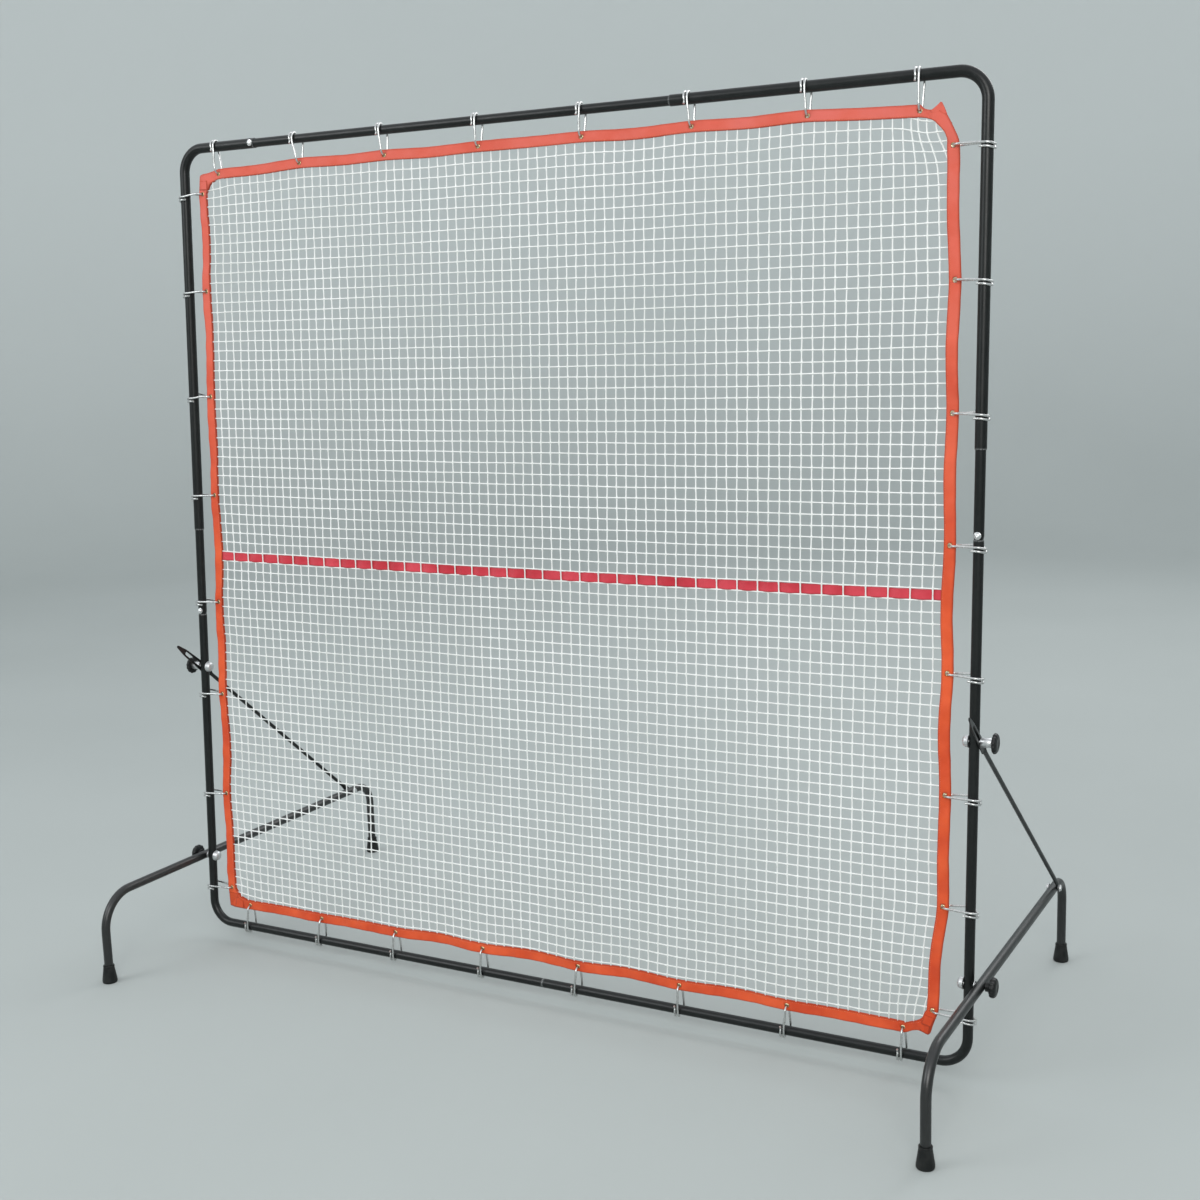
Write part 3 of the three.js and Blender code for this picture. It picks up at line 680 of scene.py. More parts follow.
for side_name, hand in both_sides:
    node = f"{side_name}_brace"
    rear = middle_of(f"{side_name}_brace_bolt") * (0, 1, 1)
    tilt_point = pivot + upward * tilt_rise
    along = (tilt_point - rear) / np.linalg.norm(tilt_point - rear)
    across = np.cross(sideways, along)
    plate_x = hand * (side_line + lower_tube_radius + slide_gap + plate_half_thickness)
    reaches = [
        np.linalg.norm(
            pivot + tilt_rise * np.array((0, math.sin(lean + tilt), math.cos(lean + tilt))) - rear
        )
        for tilt in tilt_limits
    ]
    slot_start, slot_end = min(reaches), max(reaches)
    plate_start = slot_start - slot_half_width - slot_overhang
    slot_top = slot_end + slot_half_width
    plate_end = slot_top + nose_length
    slant_start, slant_end = eye_length + forged_length, plate_start - shoulder_length
    stations = [
        (-eye_half_width * math.cos(angle), eye_half_width * math.sin(angle), *eye_section[1:])
        for angle in np.linspace(*eye_turns, eye_steps) * math.pi
    ]
    stations.append((eye_length, *eye_section))
    stations += forged(
        eye_length, forged_length, eye_section, rod_section, np.linspace(0.1, 1, forging_steps)
    )
    stations += forged(
        slant_end, shoulder_length, rod_section, plate_section, np.linspace(0, 1, forging_steps)
    )
    for distance in np.linspace(plate_start, plate_end - nose_rounding, plate_steps)[1:]:
        width = np.interp(
            distance, (plate_start, slot_top, plate_end),
            (plate_half_width, slot_end_half_width, nose_half_width),
        )
        stations.append((distance, width, *plate_section[1:]))
    stations += [
        (
            plate_end - nose_rounding * (1 - math.sin(angle)), nose_half_width * math.cos(angle),
            *plate_section[1:],
        )
        for angle in np.linspace(*nose_turns, nose_steps) * math.pi
    ]
    angles = round_angles(brace_section_points, 0.5)
    rings = []
    for distance, half_width, half_thickness, squareness in stations:
        sway, thick = swollen(angles, half_width, half_thickness, squareness)
        left_over = np.clip((slant_end - distance) / (slant_end - slant_start), 0, 1)
        place = rear + along * distance + sideways * (plate_x + hand * eye_offset * left_over)
        rings.append(place + sway[:, None] * across + thick[:, None] * sideways)
    brace = make_piece(
        f"{node}_painted", *mesh_of([np.array(rings)], capped=True), black_coat, node,
        "painted_tube", (node,), crease=50,
    )
    slot_points = [
        rear + sideways * (plate_x + level)
        + along * (centre_distance + slot_half_width * math.cos(angle))
        + across * slot_half_width * math.sin(angle)
        for level in (-slot_cut_reach, slot_cut_reach)
        for centre_distance, start_angle in ((slot_end, -0.5), (slot_start, 0.5))
        for angle in (start_angle + np.arange(slot_round_steps + 1) / slot_round_steps) * math.pi
    ]
    cutter_mesh = bpy.data.meshes.new("slot_cutter")
    cutter_faces = skin(2, 2 * (slot_round_steps + 1), capped=True)
    cutter_mesh.from_pydata(np.array(slot_points).tolist(), [], cutter_faces)
    cutter = bpy.data.objects.new("slot_cutter", cutter_mesh)
    bpy.context.scene.collection.objects.link(cutter)
    cut = brace.modifiers.new("slot", "BOOLEAN")
    cut.operation = "DIFFERENCE"
    cut.solver = "EXACT"
    cut.object = cutter
    keep_shaped(brace)
    bpy.data.objects.remove(cutter)

# Bolts. Zinc-plated cup-head bolts pass outward through each upright, the lower ones with a spacer
# collar between upright and leg; a small bolt with a hexagon nut holds each brace's eye to its leg.
bolt_radius = 0.004
cup_radius = 0.013
cup_height = 0.0133
cup_fullness = 0.72
cup_washer_radius = 0.0136
cup_washer_height = 0.0012
collar_radius = 0.009
nut_radius = 0.0072
nut_height = 0.0058
rear_bolt_radius = 0.003
rear_head_radius = 0.0072
rear_head_height = 0.004
rear_washer_radius = 0.0085
rear_washer_height = 0.0009
rear_end_length = 0.0015
rear_rounding = 0.0007
closing_radius = 0.0006
bolt_sides = 36
thread_turn = 0.00125
cup_rows = 8

bolt_zinc = bright_zinc("bolt_zinc", (0.70, 0.71, 0.715), 0.38, 0.52)


def cup_head(seat):
    """The rows of a round head that stands inward of its seat, from its crown to its washer."""
    rows = []
    for share in np.linspace(0.04, 1, cup_rows + 1):
        across, up = math.sin(share * math.pi / 2), math.cos(share * math.pi / 2)
        rise = cup_washer_height + (cup_height - cup_washer_height) * up ** cup_fullness
        rows.append((seat - rise, cup_radius * across ** cup_fullness))
    return [
        *rows,
        (seat - cup_washer_height * 0.95, cup_washer_radius * 0.97),
        (seat - cup_washer_height * 0.75, cup_washer_radius),
        (seat, cup_washer_radius),
    ]


def ends_outward(node, hand):
    """How far out from the middle of the net a node starts and ends."""
    low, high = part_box(node)
    return sorted((hand * low.x, hand * high.x))


for side_name, hand in both_sides:
    for bolt_name in ("pivot", "tilt"):
        node = f"{side_name}_{bolt_name}_bolt"
        centre = middle_of(node)
        centre[0] = hand * side_line
        end = ends_outward(node, hand)[1] - side_line
        seat = -lower_tube_radius - slide_gap
        profile = [*cup_head(seat), (seat, bolt_radius)]
        if bolt_name == "pivot":
            collar_start = lower_tube_radius + slide_gap
            collar_end = collar_start + 2 * plate_half_thickness
            profile += [
                (collar_start, bolt_radius), (collar_start, collar_radius * 0.97),
                (collar_start + slide_gap, collar_radius), (collar_end - slide_gap, collar_radius),
                (collar_end, collar_radius * 0.97), (collar_end, bolt_radius),
            ]
        profile += [(end - thread_turn, bolt_radius), (end, bolt_radius * 0.8)]
        turned_piece(
            f"{node}_zinc", profile, centre, (hand, 0, 0), bolt_sides, bolt_zinc,
            "frame", "bright_steel", (node,), crease=50,
        )
    node = f"{side_name}_brace_bolt"
    nut_end, head_end = ends_outward(node, hand)
    centre = middle_of(node) * (0, 1, 1)
    nut_seat = nut_end + nut_height
    head_seat = head_end - rear_head_height
    profile = [
        (nut_end - rear_end_length, closing_radius),
        (nut_end - rear_end_length, rear_bolt_radius * 0.85),
        (nut_end - rear_end_length + rear_rounding, rear_bolt_radius), (nut_end, rear_bolt_radius),
        (nut_end, nut_radius * 0.86), (nut_end + rear_rounding, nut_radius),
        (nut_seat - rear_washer_height, nut_radius),
        (nut_seat - rear_washer_height, rear_washer_radius), (nut_seat, rear_washer_radius),
        (nut_seat, rear_bolt_radius), (head_seat, rear_bolt_radius),
        (head_seat, rear_washer_radius), (head_seat + rear_washer_height, rear_washer_radius),
        (head_seat + rear_washer_height, rear_head_radius),
        (head_end - rear_rounding, rear_head_radius), (head_end, rear_head_radius * 0.86),
        (head_end, closing_radius),
    ]
    shapes = [
        hexagon if radius in (nut_radius, rear_head_radius) else None for _, radius in profile
    ]
    turned_piece(
        f"{node}_zinc", profile, centre, (hand, 0, 0), bolt_sides, bolt_zinc,
        f"{side_name}_leg", "bright_steel", (node,), shapes=shapes, crease=35,
    )

# Knobs. Black moulded plastic hand knobs, each a round head with a finger-fluted rim on a neck
# that holds the thread. They clamp the leg and the brace to the frame. The lower ones swell to
# their rim like a mushroom; the neck of the upper ones is a bright sleeve pressed into a thin head.
knob_sides = 96
knob_flutes = 12
flute_depth_share = 0.075
knob_rows = [
    (0.00, 0.0, 0.36), (0.00, 0.0, 0.455), (0.03, 0.0, 0.475), (0.97, 0.0, 0.475),
    (1.00, 0.0, 0.52), (1.00, 0.11, 0.86), (1.00, 0.17, 0.94), (1.00, 0.25, 0.985),
    (1.00, 0.38, 1.0), (1.00, 0.56, 0.985), (1.00, 0.72, 0.93), (1.00, 0.84, 0.82),
    (1.00, 0.93, 0.62), (1.00, 0.965, 0.44), (1.00, 0.955, 0.40), (1.00, 0.93, 0.38),
    (1.00, 0.93, 0.05),
]
fluted_from, fluted_to = 0.84, 1.01
neck_lengths = {"pivot": 0.008, "tilt": 0.0245}
sleeve_radius = 0.0102
sleeve_rounding = 0.0008
sleeve_inset = 0.001


def fluted(angles):
    return 1 - flute_depth_share * (0.5 + 0.5 * np.cos(angles * knob_flutes)) ** 2


knob_plastic = clouded(
    "moulded_plastic", ((0.0045, 0.005, 0.005), (0.010, 0.011, 0.0115)), 0.3, 0.42,
    ((30, 3), (260, 3), (1900, 1)), 0.00005, shine=0.34,
)
for side_name, hand in both_sides:
    for knob_name, neck_length in neck_lengths.items():
        node = f"{side_name}_{knob_name}_knob"
        low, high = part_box(node)
        knob_radius = (high.z - low.z) / 2
        centre = middle_of(node)
        seat, end = ends_outward(node, hand)
        head_length = end - seat - neck_length
        centre[0] = hand * seat
        rows = knob_rows if knob_name == "pivot" else [(1.0, 0.0, 0.05), *knob_rows[4:]]
        profile = [
            (neck_length * neck + head_length * head, knob_radius * out) for neck, head, out in rows
        ]
        shapes = [fluted if fluted_from <= out <= fluted_to else None for _, _, out in rows]
        turned_piece(
            f"{node}_plastic", profile, centre, (hand, 0, 0), knob_sides, knob_plastic,
            node, "knob_plastic", (node,), shapes=shapes, crease=45,
        )
        if knob_name == "tilt":
            sleeve_end = neck_length + sleeve_inset
            profile = [
                (0, bolt_radius), (0, sleeve_radius - sleeve_rounding),
                (sleeve_rounding, sleeve_radius), (sleeve_end - sleeve_rounding, sleeve_radius),
                (sleeve_end, sleeve_radius - sleeve_rounding), (sleeve_end, bolt_radius),
            ]
            turned_piece(
                f"{node}_sleeve", profile, centre, (hand, 0, 0), bolt_sides, bolt_zinc,
                node, "bright_steel", crease=50,
            )

# Wire rings. Each is a long oval of zinc-plated wire, bent round the tube like a link of chain and
# passed through an eyelet of the tape. Its two ends lie side by side on the outer side of the tube,
# one of them running on to its front. No two hang quite alike, and some near a corner are longer.
wire_radius = 0.0025
ring_half_width = 0.0155
ring_loop_half_width = 0.0135
ring_loop_length = 0.0125
ring_reach = 0.0585
ring_ends_apart = 0.0075
ring_end_slant = 0.0035
ring_tip = 0.0125
wire_sides = 14
rings_a_side = 8

# Where the wire's parts begin and how long they go on: round the tube in half turns from its inner
# side by the front, and along the strands as shares of their length.
first_end_turn, last_end_turn = 0.36, 1.08
slant_from, slant_over = 0.4, 0.6
crossing_from, crossing_over = 1.1, 0.4
narrowing_from, narrowing_over = 0.3, 0.7
strand_shares = np.linspace(0.12, 0.94, 9)
steps_round_tube, steps_round_loop, steps_at_end = 24, 14, 12

# How far each ring's front and back strands lie apart along the tube, in millimetres, and how far
# the ring leans along it. Rings are counted from the left and from below.
ring_spreads = {
    "left": (2.5, 1.0, 3.0, 1.5, 1.0, 6.0, 2.0, 5.0),
    "right": (1.5, 2.5, 1.0, 2.0, 1.5, 2.5, 1.0, 2.0),
    "top": (-5.5, 5.0, 1.9, 1.5, 0.0, 1.9, 2.0, 1.1),
    "bottom": (2.0, 1.0, 2.5, 1.5, 2.0, 1.0, 2.5, 1.5),
}
ring_leans = {
    "left": (1.0, -2.0, 1.5, 0.0, -1.5, 2.0, -1.0, 0.5),
    "right": (-1.0, 1.5, 0.5, -1.5, 1.0, 0.0, -1.0, 1.5),
    "top": (-8.0, -5.5, -3.8, 1.3, 3.0, -2.0, 0.0, 1.7),
    "bottom": (1.5, -2.0, 2.5, 3.0, -1.0, 3.5, 0.5, 2.0),
}

ring_zinc = bright_zinc("ring_zinc", (0.66, 0.665, 0.655), 0.24, 0.36)

# Each side's way inward, the way along its tube, and where its tube runs.
ring_sides = {
    "left": (sideways, upward, -side_line * sideways),
    "right": (-sideways, upward, side_line * sideways),
    "top": (-upward, sideways, top_line * upward),
    "bottom": (upward, sideways, bottom_line * upward),
}
eyelet_places = {}
ring_slacks = {}


def ring_line(spread, reach):
    """The wire's centre line: how far inward from the tube's centre, back from it and along it."""
    loop_centre = reach - ring_loop_length
    far_side = -spread - ring_ends_apart - ring_end_slant

    def strand(share, face):
        narrowing = ease((share - narrowing_from) / narrowing_over)
        width = ring_half_width + (ring_loop_half_width - ring_half_width) * narrowing
        return loop_centre * share, face * width, face * spread * (1 - ease(share))

    def round_tube(turn, along):
        angle = turn * math.pi
        return ring_half_width * math.cos(angle), -ring_half_width * math.sin(angle), along

    line = [(ring_tip, -ring_half_width * 1.1, far_side + ring_end_slant)]
    for turn in np.linspace(first_end_turn, 1.5, steps_round_tube):
        start = far_side + ring_end_slant * (1 - ease((turn - slant_from) / slant_over))
        crossed = ease((turn - crossing_from) / crossing_over)
        line.append(round_tube(turn, start + (spread - start) * crossed))
    line += [strand(share, 1) for share in strand_shares]
    line += [
        (loop_centre + ring_loop_length * math.cos(angle), ring_loop_half_width * math.sin(angle), 0)
        for angle in np.linspace(0.5, -0.5, steps_round_loop) * math.pi
    ]
    line += [strand(share, -1) for share in reversed(strand_shares)]
    line += [
        round_tube(turn, -spread - ring_end_slant * ease((turn - 0.5) / 0.5))
        for turn in np.linspace(0.5, last_end_turn, steps_at_end)
    ]
    return np.array(line)


def headings_along(line):
    """Which way a line runs at each of its places."""
    courses = np.gradient(line, axis=0)
    return courses / np.linalg.norm(courses, axis=1)[:, None]


def wire_along(line, radius, sides):
    """Rings round a free line in space, carried along it without twist."""
    courses = headings_along(line)
    normal = np.cross(courses[0], (0.31, 0.52, 0.79))
    normal /= np.linalg.norm(normal)
    angles = round_angles(sides)
    rings = []
    for place, course in zip(line, courses):
        normal = normal - course * (normal @ course)
        normal /= np.linalg.norm(normal)
        side = np.cross(course, normal)
        rings.append(
            place + radius * (np.cos(angles)[:, None] * normal + np.sin(angles)[:, None] * side)
        )
    return np.array(rings)


for side_name, (inward, tube_way, tube_place) in ring_sides.items():
    nodes = [f"ring_{side_name}_{number}" for number in range(1, rings_a_side + 1)]
    reaches = np.array([span(node, inward)[1] for node in nodes])
    ring_slacks[side_name] = reaches - reaches.min()
    eyelet_places[side_name] = [sum(span(node, tube_way)) / 2 for node in nodes]
    for number, (node, along) in enumerate(zip(nodes, eyelet_places[side_name])):
        spread, lean_along = (
            table[side_name][number] / 1000 for table in (ring_spreads, ring_leans)
        )
        reach = ring_reach + ring_slacks[side_name][number]
        inward_part, back_part, tube_part = ring_line(spread, reach).T
        loose = 1 - np.clip(inward_part / reach, 0, 1)
        line = (
            pivot + tube_place + along * tube_way
            + inward_part[:, None] * inward
            + back_part[:, None] * backward
            + (tube_part + lean_along * loose)[:, None] * tube_way
        )
        make_piece(
            f"{node}_wire", *mesh_of([wire_along(line, wire_radius, wire_sides)], capped=True),
            ring_zinc, "frame", "bright_steel", (node,), crease=60,
        )

# Border tape. One length of orange polyester webbing, folded over the net's edge all round and
# sewn through. It is held out at the rings and drawn in by the net between them. At the corners it
# is folded on itself, at each corner in its own way.
tape_stand_off = 0.047
tape_width = 0.025
tape_half_thickness = 0.0022
webbing_thickness = 0.0010
tape_step = 0.0048
corner_step = 0.0032
eyelet_hole_radius = 0.0038
eyelet_spread = 0.0088
hole_middle_radius = 0.0012
pinch_radius = 0.020
gather_count = 9
gather_height = 0.0006
gather_back_share = 0.6
gather_from_hole = 0.014
gather_breadth = 0.008
ripple_height = 0.0011
ripple_lengths = (0.31, 0.17, 0.083, 0.047)
ripple_slant = 1.3
ripple_at_fold = 1.15
ripple_at_net = 0.55
ripple_seed = 3
softening_rounds = 2
tape_inner_depth = tape_stand_off + tape_width
frame_height = top_line - bottom_line

# How far the net draws the tape in between one ring and the next, in millimetres.
scallops = {
    "left": (2.0, 8.0, 3.0, 6.0, 1.0, 2.5, 4.5),
    "right": (5.0, 1.5, 5.0, 4.5, 3.5, 4.5, 2.5),
    "top": (2.0, 2.5, 3.0, 1.0, 4.0, 3.0, 1.0),
    "bottom": (1.5, 1.5, 5.0, 6.0, 5.5, 4.5, 2.0),
}

# Each corner's lines are pairs in millimetres, from one of its two rings to the other: how far a
# point lies from the side tube and from the level tube. The third value of a point of the outer line
# is how far the webbing stands forward. At the rings the lines run on into those of the sides.
corner_folds = {
    ("right", "bottom"): (
        [(134, 49, 1), (122, 56, 2), (108, 59.5, 3), (96, 57, 4), (86, 52, 3.5), (81, 57, 1.5),
         (78, 71, 0.5), (73, 86, 0), (68, 99, 0)],
        [(134, 71), (127, 75), (116, 79), (105, 84), (99, 90), (96, 98), (93, 105)],
    ),
    ("right", "top"): (
        [(59, 128, 1.5), (66, 112, 3), (74, 96, 4), (82, 81, 4.5), (96, 73, 2), (108, 70, 0),
         (119, 70, -1), (130, 67, 0)],
        [(80, 130), (85, 117), (92, 108), (100, 100), (107, 93), (114, 89), (122, 86), (131, 84)],
    ),
    ("left", "top"): (
        [(100, 60, 0.5), (82, 64, 1.5), (64, 66, 2.5), (55, 69, 2), (53, 80, 1), (51, 95, 0),
         (49, 106, 0)],
        [(105, 84), (96, 88), (88, 93), (82, 99), (77, 107)],
    ),
    ("left", "bottom"): (
        [(55, 88, 0), (57, 72, 0.5), (59, 58, 1), (62, 49, 2.5), (72, 47, 2.5), (90, 46, 2),
         (110, 45.5, 1)],
        [(83, 94), (90, 88), (98, 81), (109, 76), (119, 73)],
    ),
}
starts_at_level_tube = (("right", "bottom"), ("left", "top"))


def side_stops(side_name):
    """Where a side's rings lie along it, from the net's middle line or above its lower tube."""
    rings_along = np.array(eyelet_places[side_name])
    return rings_along - bottom_line if side_name in ("left", "right") else rings_along


def drawn_in(side_name, along):
    """How far inside its line the tape hangs: by the rings' slack, and by a scallop between them."""
    stops = side_stops(side_name)
    along = np.asarray(along, float)
    spot = np.clip(np.searchsorted(stops, along) - 1, 0, rings_a_side - 2)
    share = np.clip((along - stops[spot]) / (stops[spot + 1] - stops[spot]), 0, 1)
    scallop = np.array(scallops[side_name])[spot] / 1000 * np.sin(math.pi * share) ** 2
    return np.interp(along, stops, ring_slacks[side_name]) + scallop


def side_places(side_name, along, depth):
    """Places in the frame, across it and above its lower tube, at a depth inside a side's tube."""
    across, above = {
        "left": (-side_line + depth, along),
        "right": (side_line - depth, along),
        "bottom": (along, depth),
        "top": (along, frame_height - depth),
    }[side_name]
    return np.stack(np.broadcast_arrays(across, above), axis=-1)


def from_corner(corner, aside, off_level):
    """Places across the frame and above its lower tube, from a corner's side and level tubes."""
    side_name, level_name = corner
    across = (1 if side_name == "right" else -1) * (side_line - aside)
    return across, frame_height - off_level if level_name == "top" else off_level


def in_net(x, above, back=0.0):
    """Places across the frame, above its lower tube and back from it."""
    return in_frame(x, above + bottom_line, back)


def lengths_along(line):
    """How far along a line each of its places lies."""
    return np.concatenate([[0], np.cumsum(np.linalg.norm(np.diff(line, axis=0), axis=1))])


def softened(line):
    """The middle places of a line are drawn towards their neighbours."""
    line = np.array(line, float)
    for _ in range(softening_rounds):
        line[1:-1] = (line[:-2] + 2 * line[1:-1] + line[2:]) / 4
    return line


def corner_ends(corner, depth):
    """Where a line at a depth in the tape passes the corner's two rings, from the tubes' centres."""
    side_name, level_name = corner
    level_ring = -1 if side_name == "right" else 0
    side_ring = -1 if level_name == "top" else 0
    across = side_line - abs(side_stops(level_name)[level_ring])
    above = side_stops(side_name)[side_ring]
    ends = [
        (across, depth + ring_slacks[level_name][level_ring]),
        (depth + ring_slacks[side_name][side_ring],
         frame_height - above if level_name == "top" else above),
    ]
    return ends if corner in starts_at_level_tube else ends[::-1]


def resampled(line, count):
    """As many places as are asked for, evenly far along a line of chosen points."""
    far = lengths_along(line[:, :2])
    evenly = np.linspace(0, far[-1], count)
    return np.stack([np.interp(evenly, far, part) for part in line.T], axis=1)


def corner_run(corner):
    """The outer line, the inner line and the forward stand of the tape round one corner."""
    lines = []
    for line, depth in zip(corner_folds[corner], (tape_stand_off, tape_inner_depth)):
        start, end = corner_ends(corner, depth)
        spare = (0,) * (len(line[0]) - 2)
        line = np.array(line, float) / 1000
        lines.append(np.concatenate([[(*start, *spare)], line, [(*end, *spare)]]))
    count = round(lengths_along(lines[0][:, :2])[-1] / corner_step)
    outer, inner = (softened(resampled(line, count)) for line in lines)
    placed = (np.stack(from_corner(corner, *line.T[:2]), axis=1) for line in (outer, inner))
    return *placed, outer[:, 2]


def side_run(side_name, forwards):
    """The same two lines and the stand along a side, from its first ring to its last or back."""
    stops = side_stops(side_name)
    alongs = [stops[0]]
    for start, end in zip(stops, stops[1:]):
        steps = max(2, round((end - start) / tape_step))
        alongs += list(np.linspace(start, end, steps + 1)[1:])
    alongs = np.array(alongs if forwards else alongs[::-1])
    depth = tape_stand_off + drawn_in(side_name, alongs)
    return (
        side_places(side_name, alongs, depth),
        side_places(side_name, alongs, depth + tape_width),
        np.zeros(len(alongs)),
    )


tape_runs = [
    side_run("bottom", True), corner_run(("right", "bottom")),
    side_run("right", True), corner_run(("right", "top")),
    side_run("top", False), corner_run(("left", "top")),
    side_run("left", False), corner_run(("left", "bottom")),
]
tape_outer, tape_inner, tape_stand = (
    np.concatenate([run[part][:-1] for run in tape_runs]) for part in range(3)
)
tape_middle = (tape_outer + tape_inner) / 2
tape_along = lengths_along(tape_middle)
tape_length = tape_along[-1] + np.linalg.norm(tape_middle[0] - tape_middle[-1])

eyelet_centres = np.concatenate([
    side_places(
        side_name, side_stops(side_name), tape_stand_off + tape_width / 2 + ring_slacks[side_name]
    )
    for side_name in ring_sides
])

# The webbing's section, from the front layer's free edge round the fold to the back layer's: how far
# each line lies from the outer edge, and how far back.
layer_shares = (1.0, 0.93, 0.80, 0.65, 0.50, 0.35, 0.22, 0.12)
fold_turns = (-0.5, -0.27, 0.0, 0.27, 0.5)
front_layer = [(share * tape_width, -tape_half_thickness) for share in layer_shares]
fold = [
    (tape_half_thickness * (1 - math.cos(angle)), tape_half_thickness * math.sin(angle))
    for angle in np.array(fold_turns) * math.pi
]
back_layer = [(across, -back) for across, back in reversed(front_layer)]
tape_section = [*front_layer, *fold, *back_layer]


def ripple(along, across_share):
    """A slow wave of the webbing forward and back, more at its outer edge than at the net."""
    waves = random.Random(ripple_seed)
    total = np.zeros(np.broadcast(along, across_share).shape)
    for length in ripple_lengths:
        turns = round(tape_length / length)
        height = ripple_height * math.sqrt(length / ripple_lengths[0])
        total = total + height * np.sin(
            2 * math.pi * turns * along / tape_length + waves.uniform(0, 2 * math.pi)
            + ripple_slant * across_share
        )
    return total * (ripple_at_fold + (ripple_at_net - ripple_at_fold) * across_share)


tape_rows = len(tape_outer)
tape_columns = len(tape_section)
across_part, back_part = np.array(tape_section).T
across_share = across_part / tape_width
flat_places = (
    tape_outer[:, None, :] + across_share[None, :, None] * (tape_inner - tape_outer)[:, None, :]
)


def from_eyelets(places):
    """The nearest eyelet to each flat place, and how far away it is."""
    ways = np.linalg.norm(places[..., None, :] - eyelet_centres, axis=-1)
    return ways.argmin(axis=-1), ways.min(axis=-1)


def webbing_back(along, across_share, stand, places):
    """How far back the middle of the folded webbing lies at places of it."""
    pinch = np.exp(-((from_eyelets(places)[1] / pinch_radius) ** 2))
    return ripple(along, across_share) * (1 - pinch) - stand


owner, distance = from_eyelets(flat_places)
near_hole = (distance < eyelet_spread) & (distance > 1e-6)
opened = np.sqrt(
    eyelet_hole_radius ** 2
    + distance ** 2 * (1 - eyelet_hole_radius ** 2 / eyelet_spread ** 2)
)
from_hole = flat_places - eyelet_centres[owner]
flat_places = np.where(
    near_hole[:, :, None],
    eyelet_centres[owner] + from_hole * (opened / np.maximum(distance, 1e-9))[:, :, None],
    flat_places,
)
gathers = np.cos(gather_count * np.arctan2(from_hole[:, :, 1], from_hole[:, :, 0]))
gathers *= gather_height * np.exp(-((distance - gather_from_hole) / gather_breadth) ** 2)
back = (
    back_part[None, :]
    + webbing_back(tape_along[:, None], across_share[None, :], tape_stand[:, None], flat_places)
    - np.abs(gathers) * np.where(back_part < 0, 1, -gather_back_share)[None, :]
)
tape_points = in_net(flat_places[:, :, 0], flat_places[:, :, 1], back)


def sheet_faces(rows, columns, first=0, joined=False):
    """Faces over a grid of points that is open at its sides, joined end to end or not."""
    faces = []
    for row in range(rows if joined else rows - 1):
        here, there = first + row * columns, first + (row + 1) % rows * columns
        faces += [
            (here + column, there + column, there + column + 1, here + column + 1)
            for column in range(columns - 1)
        ]
    return faces


hole_points = set(np.flatnonzero(distance <= hole_middle_radius).tolist())
tape_faces = [
    face for face in sheet_faces(tape_rows, tape_columns, joined=True)
    if hole_points.isdisjoint(face)
]


# Painted shade: how dark the webbing is painted towards its edges, as a share of its deep tone.
painted_edge_shade_share = 0.62


def webbing(name, deep, bright, lit_top_tone, rib_pitch, yarn_pitch):
    """Woven tape: ribs across it, yarns along it, clouded, paler where it is high as painted light,
    and with painted shade towards its edges.
    """
    finish, shader, place = start_finish(name, bright, 0.8)

    def wave(mark, pitch):
        return calculate("SINE", calculate("MULTIPLY", mark_on(shader, mark), 2 * math.pi / pitch))

    weave = calculate("MULTIPLY", wave("along", rib_pitch), wave("across", yarn_pitch))
    cloud = grain(place, 11, 4)
    colour = mix_colours(between(cloud, 0, 1), deep, bright)
    # Painted light: higher up, the webbing is mixed towards a paler tone.
    high = between(height_of(place), 0, 1, 1.0, 2.0)
    painted_top_light = calculate("MULTIPLY", high, between(cloud, 0.55, 1))
    colour = mix_colours(painted_top_light, colour, lit_top_tone)
    colour = mix_colours(between(weave, 0, 0.30, -1, 1), colour, deep)
    # Painted shade: the colour is mixed towards a darker tone where the edge mark is high.
    painted_edge_shade = tuple(part * painted_edge_shade_share for part in deep)
    edge = between(mark_on(shader, "edge"), 0, 0.8, 0.25, 1.0)
    set_inputs(shader, {
        "Base Color": mix_colours(edge, colour, painted_edge_shade),
        "Roughness": between(grain(place, 60, 3), 0.68, 0.88),
        "Sheen Weight": 0.08,
        "Sheen Roughness": 0.45,
        "Specular IOR Level": 0.3,
        "Normal": relief(weave, 0.00018, 0.8),
    })
    return finish


orange_webbing = webbing(
    "orange_webbing", deep=(0.64, 0.066, 0.018), bright=(0.86, 0.128, 0.038),
    lit_top_tone=(0.73, 0.165, 0.135), rib_pitch=0.0016, yarn_pitch=0.0011,
)


def thicken(piece, thickness):
    """Gives a folded sheet its thickness and keeps it as mesh."""
    shell = piece.modifiers.new("thickness", "SOLIDIFY")
    shell.thickness = thickness
    shell.offset = 0
    keep_shaped(piece)


border_tape = make_piece(
    "border_tape_webbing", tape_points, tape_faces, orange_webbing, "frame", "border_webbing",
    ("border_tape",),
    {
        "along": np.repeat(tape_along, tape_columns),
        "across": np.tile(across_part + np.where(back_part > 0, 2 * tape_width, 0), tape_rows),
        # Painted shade towards both edges of the folded tape.
        "edge": np.tile(np.abs(2 * across_share - 1) ** 3, tape_rows),
    },
    crease=70,
)
edit_all(border_tape, bpy.ops.mesh.delete_loose)
thicken(border_tape, webbing_thickness)

# Corner folds. At each corner the webbing is turned over on itself and sewn down, so another layer
# lies on its front with a slanting crease. At the upper right it stands out in a pointed ear.
flap_thickness = 0.0011
flap_columns = 9
flap_rows = 9
# Painted shade: the lower layer at each corner is painted darker all over, as if the top layer
# shaded it.
lower_layer_painted_shade = 0.55
flap_wave = 0.0005
flap_wave_turns = (5, 3, 2)
flap_weave_slant = 0.4
ear_wave = 0.0008
ear_wave_turns = 9
ear_weave_step = 0.0016
ear_squareness = 2.5
ear_sides = 20
ear_steps = 14

